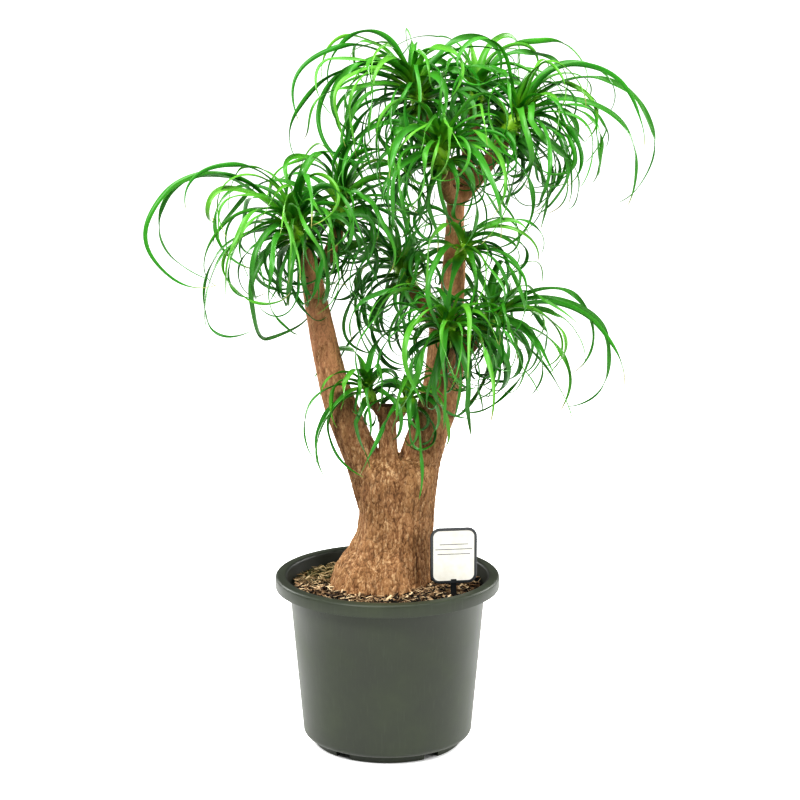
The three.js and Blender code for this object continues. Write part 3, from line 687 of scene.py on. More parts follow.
# %% One body of wood
VOXEL = 1.5  # mm: finer cork than this is left to the material
SMOOTHING = 9  # rounds

blank, _ = new_material("blank")
rough_wood = piece("wood_tubes", wood, blank)
fill = rough_wood.modifiers.new("fill", "REMESH")
fill.mode = "VOXEL"
fill.voxel_size = VOXEL * MM
soften = rough_wood.modifiers.new("soften", "SMOOTH")
soften.factor = 0.5
soften.iterations = SMOOTHING
filled = evaluated(rough_wood)
bpy.data.objects.remove(rough_wood)
bpy.data.materials.remove(blank)

count = len(filled.vertices)
places, normals = np.empty(count * 3), np.empty(count * 3)
filled.vertices.foreach_get("co", places)
filled.vertex_normals.foreach_get("vector", normals)
places, normals = places.reshape(-1, 3) / MM, normals.reshape(-1, 3)
print("one body of wood has", count, "points")

# %% Plates, cracks and ridges
CORK_STRETCH = 0.4  # upright pattern: heights shrink before the cells are made
OLD_WOOD, YOUNG_WOOD = 395, 520  # heights between which the cork thins out
PLATE_OLD, PLATE_YOUNG = 5.5, 4.5  # widths of a plate
RELIEF_OLD, RELIEF_YOUNG = 1.0, 0.45  # depths of a crack
RIDGES_OLD, RIDGES_YOUNG = 3.0, 0.7  # heights of the ridges that run up the wood
LUMPS_OLD, LUMPS_YOUNG = 1.8, 1.0  # heights of the broad lumps
CRACK_WANDER = 0.3  # how far cracks stray from straight, in plates
CRACK_SLOPE = 0.38  # the share of a plate that slopes down to its cracks

age_of_wood = 1 - eased(OLD_WOOD, YOUNG_WOOD, places[:, 2])


def cells(point, width):
    """How far from its cell's edge a point lies, from 0 in a crack to 1 well inside a plate."""
    wander = CRACK_WANDER * noise.noise_vector(point / (3 * width))
    nearest, second = noise.voronoi(point / width + wander)[0][:2]
    return min(1, (second - nearest) / CRACK_SLOPE)


def waves(place, wide, tall):
    """Smooth noise that swells and sinks over this width and height."""
    x, y, z = place
    return noise.noise((x / wide, y / wide, z / tall))


cork = np.empty(count)
ridge = np.empty(count)
lift = np.empty(count)
for i, place in enumerate(places.tolist()):
    upright = Vector((*place[:2], place[2] * CORK_STRETCH))
    old = age_of_wood[i]
    whole = mix(cells(upright, PLATE_YOUNG), cells(upright, PLATE_OLD), old)
    ridges = waves(place, 16, 110) + 0.5 * waves(place, 7, 40)
    lumps = waves(place, 45, 60)
    grit = waves(place, 2.6, 5)
    cork[i] = whole
    ridge[i] = ridges
    lift[i] = mix(RELIEF_YOUNG, RELIEF_OLD, old) * (whole**0.6 - 0.6 + 0.25 * grit)
    lift[i] += mix(RIDGES_YOUNG, RIDGES_OLD, old) * ridges + mix(LUMPS_YOUNG, LUMPS_OLD, old) * lumps
places += normals * lift[:, None]
print("wood:", count, "points, relief from", lift.min().round(1), "to", lift.max().round(1), "mm")

# %% [markdown]
# ### Material: corky bark
#
# Grown cork is dull and dry, with no coating at all, so nothing on it shines. Its colour comes from what
# shows: pale tan where a plate has just flaked, brown where it has weathered, dark brown in the cracks, and
# a warm, reddish tan on the young stems, where the inner bark shows through the thin cork. That reddish tan
# is also painted lighter, as painted light on the stems in the crown's shade.

# %% Material: corky bark
corky_bark, tree = new_material("corky_bark")
where = add(tree, "TexCoord").outputs["Object"]
cork_fact = add(tree, "Attribute", attribute_name="cork")
upright = add(tree, "Mapping", {"Vector": where, "Scale": (1, 1, CORK_STRETCH)})
warp = add(tree, "TexNoise", {"Vector": upright.outputs["Vector"], "Scale": per(6), "Detail": 2.0})
bent = add(tree, "VectorMath", {0: warp.outputs["Color"], 1: (0.004, 0.004, 0.004)}, operation="MULTIPLY")
warped = add(tree, "VectorMath", {0: upright.outputs["Vector"], 1: bent.outputs[0]}, operation="ADD")
# Flakes of cork are 1 to 3 mm wide.
flakes = add(tree, "TexVoronoi", {"Vector": warped.outputs[0], "Scale": per(2.0)})
lots = add(tree, "SeparateColor", {"Color": flakes.outputs["Color"]})
fine = add(tree, "TexNoise", {"Vector": upright.outputs["Vector"], "Scale": per(1.5), "Detail": 6.0,
                              "Roughness": 0.7})
# Rain and swelling draw the colours out into upright streaks, a few millimetres wide.
drawn_out = add(tree, "Mapping", {"Vector": where, "Scale": (1, 1, 0.13)})
streaks = add(tree, "TexNoise", {"Vector": drawn_out.outputs["Vector"], "Scale": per(5), "Detail": 3.0})
streak = add(tree, "MapRange", {0: streaks.outputs["Fac"], 1: 0.35, 2: 0.65, 3: 0.0, 4: 0.23})
lot = add(tree, "Math", {0: lots.outputs["Red"], 1: 0.24, 2: streak.outputs[0]}, operation="MULTIPLY_ADD")
spots = add(tree, "Math", {0: fine.outputs["Fac"], 1: 0.76, 2: lot.outputs[0]}, operation="MULTIPLY_ADD")
tans = [(0.34, "452e1b"), (0.47, "7a5a3c"), (0.6, "977551"), (0.72, "ad8b67"), (0.84, "d2b48d")]
tan = add(tree, "ValToRGB", {"Fac": spots.outputs[0]}, stops=tans)
# The ridges that run up the wood are drawn paler.
ridge_fact = add(tree, "Attribute", attribute_name="ridge")
paler_ridge_share = add(tree, "MapRange", {0: ridge_fact.outputs["Fac"], 1: 0.1, 2: 0.6, 3: 0.0, 4: 0.45})
ridged = add(tree, "Mix", {FACTOR: paler_ridge_share.outputs[0], FIRST: tan.outputs["Color"],
                           SECOND: colour("b48d63")}, data_type="RGBA")
height = add(tree, "SeparateXYZ", {"Vector": where})
# Higher up, the stems turn a warm, reddish tan, and it is also painted lighter: painted light on the stems
# in the crown's shade.
young = add(tree, "MapRange", {0: height.outputs["Z"], 1: 0.42, 2: 0.62, 3: 0.15, 4: 0.95})
patches = add(tree, "TexNoise", {"Vector": where, "Scale": per(28), "Detail": 4.0})
patchy = add(tree, "MapRange", {0: patches.outputs["Fac"], 1: 0.35, 2: 0.65, 3: 0.3, 4: 1.0})
redness_and_painted_light = add(tree, "Math", {0: young.outputs[0], 1: patchy.outputs[0]}, operation="MULTIPLY")
reddened_and_lit = add(tree, "Mix", {FACTOR: redness_and_painted_light.outputs[0], FIRST: ridged.outputs[MIXED], SECOND: colour("d09a77")},
          data_type="RGBA")
# Old wood cracks deeply, and young stems hardly do.
crack = add(tree, "MapRange", {0: cork_fact.outputs["Fac"], 1: 0.0, 2: 0.36, 3: 0.6, 4: 0.0})
aged_wood = add(tree, "MapRange", {0: height.outputs["Z"], 1: 0.42, 2: 0.7, 3: 1.0, 4: 0.45})
depth = add(tree, "Math", {0: crack.outputs[0], 1: aged_wood.outputs[0]}, operation="MULTIPLY")
cracked = add(tree, "Mix", {FACTOR: depth.outputs[0], FIRST: reddened_and_lit.outputs[MIXED], SECOND: colour("3a2416")},
              data_type="RGBA")
cut_fact = add(tree, "Attribute", attribute_name="cut")
sawn = add(tree, "Mix", {FACTOR: cut_fact.outputs["Fac"], FIRST: cracked.outputs[MIXED],
                         SECOND: colour("4a3020")}, data_type="RGBA")
bumps = add(tree, "Bump", {"Strength": 0.8, "Distance": 0.9 * MM, "Height": spots.outputs[0]})
bark = add(tree, "BsdfPrincipled", {
    "Base Color": sawn.outputs[MIXED],
    "Roughness": 0.88,
    "Normal": bumps.outputs["Normal"],
    "IOR": 1.45,
    "Specular IOR Level": 0.25,
})
add(tree, "OutputMaterial", {"Surface": bark.outputs[0]})
print(corky_bark.name, "has", len(tree.nodes), "nodes")

# %% The trunk as one piece
CUT_REACH = 3  # how far past the limb's radius a sawn end may reach
CUT_FACING = 0.6  # the least that a sawn face looks along its limb
CUT_SHARE = 0.85  # how much of the sawn colour shows

# A sawn end is where a limb stops: its face looks the way the limb runs.
cut = np.zeros(count)
for path, _, radius in LIMBS.values():
    end = np.array(path[-1], float)
    along = unit(end - np.array(path[-2], float))
    close = np.linalg.norm(places - end, axis=1) < radius + CUT_REACH
    cut[close & (normals @ along > CUT_FACING)] = CUT_SHARE
trunk_heap = Heap()
corners = np.empty(len(filled.loops), np.int32)
filled.loops.foreach_get("vertex_index", corners)
starts = [polygon.loop_start for polygon in filled.polygons]
trunk_faces = [face.tolist() for face in np.split(corners, starts[1:])]
trunk_heap.put(places, trunk_faces, cork=cork, ridge=ridge, cut=cut)
piece("trunk_wood", trunk_heap, corky_bark, ["trunk"], sharp=180)
bpy.data.meshes.remove(filled)

# %% [markdown]
# ## The leaves
#
# A ponytail palm's leaf is a long strap that clasps the stem, rises, and then arches over under its own
# weight until the tip curls under. The real leaves were measured as middle lines with a rise, a bend and a
# roll, so the same lines are drawn here, each with the same draws of its numbers. Scattered copies of one
# leaf would be quicker to make, but every leaf would then bend alike.

# %% The long leaves that stand out, as measured
ARCS = [  # head, heading, rise at root, length, rise at tip, start and power of the bend, roll, width
    ("left_front", 180, 42, 415, -200, 0.2, 1.1, 65, 12),
    ("left_front", 176, 46, 365, -165, 0.2, 1.0, 60, 12),
    ("left_front", 180, 68, 240, -90, 0.15, 1.2, 55, 12),
    ("left_front", 178, 60, 275, -200, 0.1, 1.0, -60, 11),
    ("left_front", 205, 25, 225, -80, 0, 0.6, 40, 13),
    ("left_front", -75, 72, 225, -86, 0.15, 1.0, 20, 15),
    ("left_front", -50, 60, 210, -100, 0.2, 1.0, -40, 13),
    ("left_front", 240, 15, 200, -150, 0.1, 1.0, -40, 12),
    ("left_back", -80, 76, 190, -70, 0.3, 1.2, 15, 15),
    ("left_back", 0, 70, 230, -120, 0.2, 1.0, 55, 13),
    ("crown_left", 180, 70, 222, -118, 0.25, 1.0, 60, 12),
    ("crown_left", 180, 54, 265, -112, 0.15, 1.0, 65, 12),
    ("crown_left", 0, 56, 205, -105, 0.35, 0.9, 60, 14),
    ("crown_left", 190, 56, 238, -150, 0.1, 1.0, -60, 12),
    ("crown_left", 186, 25, 270, -105, 0.15, 1.0, 60, 13),
    ("crown_left", 200, 45, 280, -200, 0.1, 1.0, 60, 12),
    ("crown_front", -60, 25, 235, -92, 0.1, 0.8, 30, 14),
    ("crown_front", -8, 14, 270, -165, 0.1, 1.1, 60, 12),
    ("crown_front", -120, 45, 230, -120, 0.1, 1.0, -40, 14),
    ("crown_back", 0, 66, 198, -105, 0.1, 1.1, 50, 13),
    ("crown_back", 180, 66, 180, -100, 0.1, 1.0, -60, 12),
    ("crown_right", 0, 66, 225, -100, 0.2, 1.0, 60, 13),
    ("crown_right", 0, 57, 275, -97, 0.2, 0.8, -60, 12),
    ("crown_right", 0, 46, 365, -130, 0.1, 1.05, 65, 13),
    ("crown_right", -5, 30, 285, -115, 0.1, 1.0, 60, 13),
    ("crown_right", -10, 12, 170, -140, 0.1, 1.0, -55, 13),
    ("limb_right", 0, 40, 340, -150, 0.05, 0.95, 65, 13),
    ("limb_right", -6, 32, 270, -98, 0.1, 0.95, -60, 12),
    ("limb_right", 5, 38, 275, -145, 0.2, 1.0, 60, 12),
    ("limb_right", -50, 35, 170, -60, 0, 0.5, 35, 13),
    ("limb_right", -30, -10, 190, -62, 0, 0.5, 40, 12),
    ("limb_front", -90, 10, 200, -95, 0.05, 0.8, 20, 15),
    ("limb_front", 180, 58, 215, -100, 0.15, 0.9, -60, 12),
    ("limb_front", 190, 35, 150, -92, 0.05, 0.7, 50, 13),
    ("limb_front", -15, 25, 170, -185, 0.1, 1.0, 60, 12),
    ("limb_front", -75, -20, 215, -140, 0.1, 0.9, 30, 12),
    ("stub_left", 180, 15, 190, -105, 0.1, 1.0, 55, 10),
    ("stub_left", 195, -10, 140, -110, 0.1, 1.0, 50, 11),
    ("stub_left", 218, 0, 190, -115, 0.05, 0.8, 45, 11),
    ("stub_left", 30, 85, 150, -40, 0.3, 1.0, 50, 11),
    ("stub_right", -120, 0, 155, -70, 0.05, 0.7, 30, 12),
    ("stub_right", -80, 0, 175, -95, 0.05, 0.7, 30, 12),
]
print(len(ARCS), "long leaves, and", sum(head.count for head in HEADS), "more by rule")

# %% [markdown]
# ### The rule for the other leaves
#
# Leaves come out of a shoot one by one, each turned 137.5 degrees from the last. That angle never repeats,
# which is why the heads look full from every side. Young leaves stand up in the heart, middle ones are
# longest, and old ones bend down. Each measured leaf was one of up to forty tries, so the try that was kept
# is found again by where its tip is. A few leaves had no clear place in any try, and aren't in the solids.

# %% Repeatable numbers
WHOLE = 0xFFFFFFFF  # numbers wrap round at 32 bits


def draws(seed):
    """Repeatable numbers from 0 to 1, the ones that the measured leaves were drawn with."""
    state = seed

    def draw():
        nonlocal state
        state = (state + 0x6D2B79F5) & WHOLE
        mixed = (state ^ (state >> 15)) * (state | 1) & WHOLE
        mixed ^= mixed + ((mixed ^ (mixed >> 7)) * (mixed | 61) & WHOLE) & WHOLE
        return (mixed ^ (mixed >> 14)) / 2**32

    return draw


first = draws(1)
print("seed 1 gives", round(first(), 3), "and then", round(first(), 3))

# %% Leaves by the rule
GOLDEN_ANGLE = 137.508
HEAD_SEEDS, LEAF_SEEDS = 100000, 100  # how far apart the seeds of two heads lie, and of two leaves
YOUNG_ROOT, OLD_ROOT = 4.2, 0.6  # where leaves start along the core, in shoot radii
TURN_STRAY, TILT_STRAY = 0.25, 9  # radians round the shoot, and degrees away from it
YOUNG_TILT = 10  # degrees from the shoot, and the oldest leaves reach the head's spread
SHORTEST, LENGTH_RANGE = 0.42, (0.75, 1.15)  # shares of the head's length
TIP_RISE, YOUNG_TIP_RISE = (-110, -235), -50  # degrees
YOUNG = 0.3  # up to this age a leaf stands stiffly
START_RANGE, POWER_RANGE = (0.03, 0.25), (0.8, 1.3)  # where the bend starts, and how late it comes
MOST_DRIFT, MOST_ROLL = 55, 70  # degrees
WIDTH_RANGE = (10.5, 14)


def leaf_by_rule(head, seed):
    """The leaf that the rule gives a head. The seed also says which leaf of the head it is."""
    draw = draws(seed)
    index = seed % HEAD_SEEDS // LEAF_SEEDS
    age = (index % head.count + 0.5) / head.count
    turn = math.radians(GOLDEN_ANGLE * index) + mix(-TURN_STRAY, TURN_STRAY, draw())
    tilt = math.radians(mix(YOUNG_TILT, head.spread, age**0.8) + mix(-TILT_STRAY, TILT_STRAY, draw()))
    across = unit(np.cross((0, 0, 1), head.axis))
    out = across * math.cos(turn) + np.cross(head.axis, across) * math.sin(turn)
    way = head.axis * math.cos(tilt) + out * math.sin(tilt)
    fullness = mix(SHORTEST, 1, math.sin(math.pi * (0.2 + 0.72 * age)))
    length = head.length * fullness * mix(*LENGTH_RANGE, draw())
    tip = math.radians(mix(mix(*TIP_RISE, draw()), YOUNG_TIP_RISE, 0.85 * max(0, (YOUNG - age) / YOUNG)))
    return SimpleNamespace(
        heading=math.atan2(way[1], way[0]), rise=math.asin(way[2]), length=length, tip=tip,
        start=mix(*START_RANGE, draw()), power=mix(*POWER_RANGE, draw()),
        drift=math.radians(mix(-MOST_DRIFT, MOST_DRIFT, draw())),
        roll=math.radians(mix(-MOST_ROLL, MOST_ROLL, draw())),
        width=mix(*WIDTH_RANGE, draw()), age=age, luck=draw(), loose=1,
        root=head.seat + head.axis * head.radius * mix(YOUNG_ROOT, OLD_ROOT, age))


print("the first leaf on", HEADS[0].name, "is", round(leaf_by_rule(HEADS[0], HEAD_SEEDS).length), "mm long")

# %% The listed leaves
ARC_ROOT = 3.4  # where they start along the core, in shoot radii
ARC_AGE, ARC_LOOSE = 0.55, 0.4  # the listed leaves are grown ones, and wander less


def leaf_by_arc(head, seed, listed):
    """A listed leaf. The first try is the arc itself, and later tries stray a little further each."""
    draw = draws(seed)
    _, heading, rise, length, tip, start, power, roll, width = listed

    def stray():
        return mix(-1, 1, draw()) * (seed % LEAF_SEEDS)

    return SimpleNamespace(
        heading=math.radians(heading + 1.2 * stray()), rise=math.radians(rise + 0.6 * stray()),
        length=length * (1 + 0.004 * stray()), tip=math.radians(tip + stray()), start=start, power=power,
        drift=math.radians(stray()), roll=math.radians(roll), width=width, age=ARC_AGE, luck=draw(),
        loose=ARC_LOOSE, root=head.seat + head.axis * head.radius * ARC_ROOT)


print("a listed leaf starts", ARC_ROOT * HEADS[0].radius, "mm up the core of", HEADS[0].name)

# %% The line of a leaf
LINE_STEPS = 30


def leaf_line(leaf):
    """Along the middle of a leaf: its places, the way it runs, and the way across it."""
    share = np.linspace(0, 1, LINE_STEPS + 1)
    bent = np.maximum(0, (share - leaf.start) / (1 - leaf.start)) ** leaf.power
    rise = leaf.rise + (leaf.tip - leaf.rise) * (0.12 * share + 0.88 * bent)
    heading = leaf.heading + leaf.drift * share**2
    roll = (leaf.roll * (1 - (1 - share) ** 2))[:, None]
    flat = np.cos(rise)
    along = np.stack([flat * np.cos(heading), flat * np.sin(heading), np.sin(rise)], axis=1)
    level = np.stack([-np.sin(heading), np.cos(heading), np.zeros(len(share))], axis=1)
    across = level * np.cos(roll) + np.cross(along, level) * np.sin(roll)
    strides = unit(along[:-1] + along[1:]) * leaf.length / LINE_STEPS
    return np.vstack([leaf.root, leaf.root + np.cumsum(strides, axis=0)]), along, across


print("a leaf's line has", LINE_STEPS + 1, "points")

# %% Find the measured leaves
MOST_TRIES = 40
ARC_SEEDS = 50000  # a head's listed leaves have seeds from here on
TIP_MATCH = 0.05  # mm between a drawn tip and a measured one
DROPPED = 0.85  # the age at which a leaf falls off the stub


def kept(tips, tries):
    """The first try whose tip is a corner of the measured head, as a leaf and its line."""
    for leaf in tries:
        line = leaf_line(leaf)
        if tips.find(line[0][-1] * MM)[2] < TIP_MATCH * MM:
            return leaf, line
    return None


grown = {}
for order, head in enumerate(HEADS):
    seed = (order + 1) * HEAD_SEEDS
    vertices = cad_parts["head_" + head.name].data.vertices
    tips = kdtree.KDTree(len(vertices))
    for i, vertex in enumerate(vertices):
        tips.insert(vertex.co, i)
    tips.balance()
    listed = [arc for arc in ARCS if arc[0] == head.name]
    found = []
    for i, arc in enumerate(listed):
        first = seed + ARC_SEEDS + i * LEAF_SEEDS
        tries = (leaf_by_arc(head, first + t, arc) for t in range(MOST_TRIES))
        found.append(kept(tips, tries))
    for i in range(head.count):
        tries = (leaf_by_rule(head, seed + i * LEAF_SEEDS + t) for t in range(MOST_TRIES))
        found.append(kept(tips, tries))
    # The cut stub has dropped its oldest leaves.
    oldest = DROPPED if head.name.startswith("stub") else 1
    grown[head.name] = [one for one in found if one and one[0].age < oldest]
    print(f"{head.name}: {len(found)} leaves were tried, and {len(grown[head.name])} are in the head")

# %% [markdown]
# ### More leaves between them
#
# A real head has forty or more leaves, and the measured one has the two dozen that shape it. The rest are
# grown here by the same rule. A new leaf is kept only where it has air around it, because leaves that cut
# through each other look like paper in a pile.

# %% Where there is room for more
AIR = 4.2  # mm between the middle lines of two leaves, past their roots
CROWDED = 0.16  # the share of a leaf that may crowd its neighbours, at the root
PAST_ROOT = 6  # the points of a line before this one crowd nobody
WOOD_SHARE = 3  # one in this many points of the wood is enough to keep clear of it
ROOM = 9  # mm that a leaf may pass the measured plant's box
BARE = [(72, 112, 688, 775), (-18, 16, 420, 495)]  # stem and stub show here: lowest and highest X and Z
IN_FRONT = 10  # the Y up to which a leaf would hide them


def past_root(line):
    """The middle of a leaf, past its crowded root."""
    return through(line[0], 2)[PAST_ROOT:]


low, high = np.array(cad_low) / MM - ROOM, np.array(cad_high) / MM + ROOM
high[2] -= 2 * ROOM  # the highest leaf is a measured one
obstacles = [np.vstack(wood.points)[::WOOD_SHARE]]
obstacles += [past_root(line) for leaves in grown.values() for _, line in leaves]


def tree_of(rows):
    """A search tree of all these points."""
    points = np.vstack(rows)
    made = kdtree.KDTree(len(points))
    for i, point in enumerate(points.tolist()):
        made.insert(point, i)
    made.balance()
    return made


def has_air(line, taken, lowest):
    """Whether a leaf stays in the box, and clear of the wood and of other leaves past its root."""
    places = through(line[0], 2)
    past = places[round(len(places) * CROWDED):]
    if (places < low).any() or (places > high).any() or places[:, 2].min() < lowest:
        return False
    x, y, z = past.T
    for left, right, bottom, top in BARE:
        if ((x > left) & (x < right) & (z > bottom) & (z < top) & (y < IN_FRONT)).any():
            return False
    return all(taken.find(place)[2] > AIR for place in past.tolist())


print("new leaves keep clear of", sum(len(rows) for rows in obstacles), "points")

# %% Grow the leaves between
FILL_TRIES = 24
FILL_SEED = 41
SLENDER = 0.62  # the width of these leaves, against the measured ones
FILL = {  # more leaves tried for each head, the longest as a share of the rule's, and how low they hang
    "left_front": (34, 0.8, 150), "left_back": (38, 0.85, 130), "crown_left": (44, 0.95, 190),
    "crown_front": (44, 0.95, 170), "crown_back": (44, 0.95, 200), "crown_right": (40, 0.9, 170),
    "stem_side": (28, 0.9, 130), "behind": (34, 0.9, 130), "limb_front": (32, 0.9, 110),
    "limb_right": (28, 0.85, 100), "stub_left": (10, 0.7, 50), "stub_right": (8, 0.7, 40),
}

taken = tree_of(obstacles)
for order, head in enumerate(HEADS):
    before = len(grown[head.name])
    fill, share, hang = FILL[head.name]
    for i in range(fill):
        index = round(i / fill * head.count) + head.count * (i % 2)
        for attempt in range(FILL_TRIES):
            seed = (order + FILL_SEED) * HEAD_SEEDS + index * LEAF_SEEDS + attempt
            leaf = leaf_by_rule(head, seed)
            leaf.length *= share
            leaf.width *= SLENDER
            line = leaf_line(leaf)
            if has_air(line, taken, head.seat[2] - hang):
                grown[head.name].append((leaf, line))
                obstacles.append(past_root(line))
                taken = tree_of(obstacles)
                break
    print(f"{head.name}: {len(grown[head.name]) - before} leaves more")

# %% [markdown]
# ### Material: waxy leaf
#
# The leaf's skin is waxy, so it shines softly along its length and stays dull across it. Veins run from
# base to tip, and the skin dips between them. Young leaves are yellow-green and grown ones are deep green,
# the upper side is painted paler as a painted sheen, and the thin tips dry to straw. One even green would
# look like cut felt.

# %% Material: waxy leaf
waxy_leaf, tree = new_material("waxy_leaf")
facts = {name: add(tree, "Attribute", attribute_name=name).outputs["Fac"]
         for name in ("across", "along", "age", "luck", "under", "reach")}
place = add(tree, "CombineXYZ", {"X": facts["across"], "Y": facts["reach"], "Z": facts["luck"]})
# Veins are 0.5 mm apart. They are drawn 1.6 mm apart so that they show.
vein_place = add(tree, "Mapping", {"Vector": place.outputs["Vector"], "Scale": (0.62, 0.012, 90)})
vein = add(tree, "TexNoise", {"Vector": vein_place.outputs["Vector"], "Scale": 1.0, "Detail": 3.0})
blotch_place = add(tree, "Mapping", {"Vector": place.outputs["Vector"], "Scale": (0.05, 0.014, 60)})
blotch = add(tree, "TexNoise", {"Vector": blotch_place.outputs["Vector"], "Scale": 1.0, "Detail": 2.0})
# Age decides most of a leaf's green, and its own luck and its blotches the rest.
by_luck = add(tree, "Math", {0: facts["luck"], 1: 0.3, 2: -0.38}, operation="MULTIPLY_ADD")
by_blotch = add(tree, "Math", {0: blotch.outputs["Fac"], 1: 0.4, 2: by_luck.outputs[0]},
                operation="MULTIPLY_ADD")
tone = add(tree, "Math", {0: facts["age"], 1: 0.9, 2: by_blotch.outputs[0]}, operation="MULTIPLY_ADD")
greens = [(0.0, "64a72a"), (0.14, "419214"), (0.34, "268409"), (0.6, "166a08"), (0.9, "0d4c05")]
green = add(tree, "ValToRGB", {"Fac": tone.outputs[0]}, stops=greens)
# The upper side is painted paler: a painted sheen where it faces the light.
painted_sheen = add(tree, "MapRange", {0: facts["under"], 3: 0.24, 4: 0.0})
sheened = add(tree, "Mix", {FACTOR: painted_sheen.outputs[0], FIRST: green.outputs["Color"],
                          SECOND: colour("689f50")}, data_type="RGBA")
vein_share = add(tree, "MapRange", {0: vein.outputs["Fac"], 1: 0.35, 2: 0.65, 3: 0.0, 4: 0.3})
veined = add(tree, "Mix", {FACTOR: vein_share.outputs[0], FIRST: sheened.outputs[MIXED],
                           SECOND: colour("5a9c38")}, data_type="RGBA")
# Leaf bases are lime, and are painted brighter than that: painted light in the shaded heart of each head.
lime_base_and_light = add(tree, "MapRange", {0: facts["along"], 1: 0.0, 2: 0.17, 3: 0.9, 4: 0.0})
based_and_lit = add(tree, "Mix", {FACTOR: lime_base_and_light.outputs[0], FIRST: veined.outputs[MIXED],
                          SECOND: colour("a0cb36")}, data_type="RGBA")
tip_start = add(tree, "MapRange", {0: facts["luck"], 3: 0.88, 4: 1.04})
past_tip = add(tree, "Math", {0: facts["along"], 1: tip_start.outputs[0]}, operation="SUBTRACT")
tip_share = add(tree, "MapRange", {0: past_tip.outputs[0], 1: 0.0, 2: 0.06, 3: 0.0, 4: 0.9})
dried = add(tree, "Mix", {FACTOR: tip_share.outputs[0], FIRST: based_and_lit.outputs[MIXED],
                          SECOND: colour("a89f62")}, data_type="RGBA")
waxy = add(tree, "MapRange", {0: blotch.outputs["Fac"], 3: 0.34, 4: 0.5})
ribs = add(tree, "Bump", {"Strength": 0.35, "Distance": 0.25 * MM, "Height": vein.outputs["Fac"]})
leaf_skin = add(tree, "BsdfPrincipled", {
    "Base Color": dried.outputs[MIXED],
    "Roughness": waxy.outputs[0],
    "Normal": ribs.outputs["Normal"],
    "IOR": 1.45,
    "Specular IOR Level": 0.5,
})
add(tree, "OutputMaterial", {"Surface": leaf_skin.outputs[0]})
print(waxy_leaf.name, "has", len(tree.nodes), "nodes")

# %% [markdown]
# ### The blades
#
# Each blade is a thin closed solid: a channel above, rounded below, wide where it clasps the stem. The
# channel is what lets so thin a leaf stand out that far, and it throws the pale line of light along the
# leaf. A flat ribbon would have neither. No leaf is a perfect arch: its neighbours push it, so each one is
# bent, twisted and curled by noise, and a few have a kink where they were bruised.

# %% Bend, twist and curl a leaf
WANDER = 0.85  # how far a bend turns a leaf aside
WANDER_LENGTH = 70  # mm of leaf to each bend
TWIST = 3.0  # radians
KINK = 0.7  # how sharply a bruised leaf turns
BRUISED = 0.72  # the leaves whose luck is above this have a kink
KINK_PLACE = (0.4, 0.8)  # the least and the most, along the leaf
CURL_BACK, CURL_UNDER = -0.6, 1.8  # radians that a tip curls on from its arch


def wandered(leaf, places, along, across):
    """A leaf's line with the uneven bends, twists and kinks that its neighbours leave in it."""
    share = np.linspace(0, 1, len(places))
    run = share * leaf.length / WANDER_LENGTH
    bends = np.array([noise.noise_vector((r, 40 * leaf.luck, 7 * leaf.age)) for r in run])
    free = np.minimum(1, 2 * share) ** 1.5
    loose = leaf.loose * free
    kink = KINK * leaf.loose * (leaf.luck > BRUISED) * (share > mix(*KINK_PLACE, leaf.luck * 13 % 1))
    up = np.cross(along, across)
    along = unit(along + across * (WANDER * loose * bends[:, 0] + kink)[:, None]
                 + up * (WANDER * loose * bends[:, 1])[:, None])
    across = unit(across - along * np.sum(across * along, axis=1, keepdims=True))
    up = np.cross(along, across)
    curl = (leaf.loose * mix(CURL_BACK, CURL_UNDER, leaf.luck * 31 % 1) * share**3)[:, None]
    along, up = along * np.cos(curl) - up * np.sin(curl), up * np.cos(curl) + along * np.sin(curl)
    twist = (TWIST * free * bends[:, 2])[:, None]
    across = across * np.cos(twist) + up * np.sin(twist)
    strides = unit(along[:-1] + along[1:]) * leaf.length / (len(share) - 1)
    return np.vstack([places[:1], places[0] + np.cumsum(strides, axis=0)]), along, across


print("a leaf bends another way every", WANDER_LENGTH, "mm or so")

# %% The blade
TOP = np.array([-1, -0.55, 0, 0.55, 1])  # corners across the upper side, as shares of half the width
BELOW = np.array([0.6, 0, -0.6])  # and back under it
THICK = np.array([0.42, 0.62, 0.42])  # mm under those
STRAP = 0.7  # how wide the middle of a leaf is, against its base
TAPER = 2.4  # the higher, the nearer to its tip a leaf keeps its width
TIP_WIDTH = 0.6
CLASP, CLASP_PLACE, CLASP_REACH = 0.75, 0.1, 0.13  # how much wider the base is, and where along the leaf
CHANNEL_BASE, CHANNEL_FURTHER = 0.24, 0.13  # depths of the channel, as shares of the width
RIPPLE, RIPPLE_LENGTH = 0.5, 11  # mm: how high an edge ripples, and how fast along the leaf


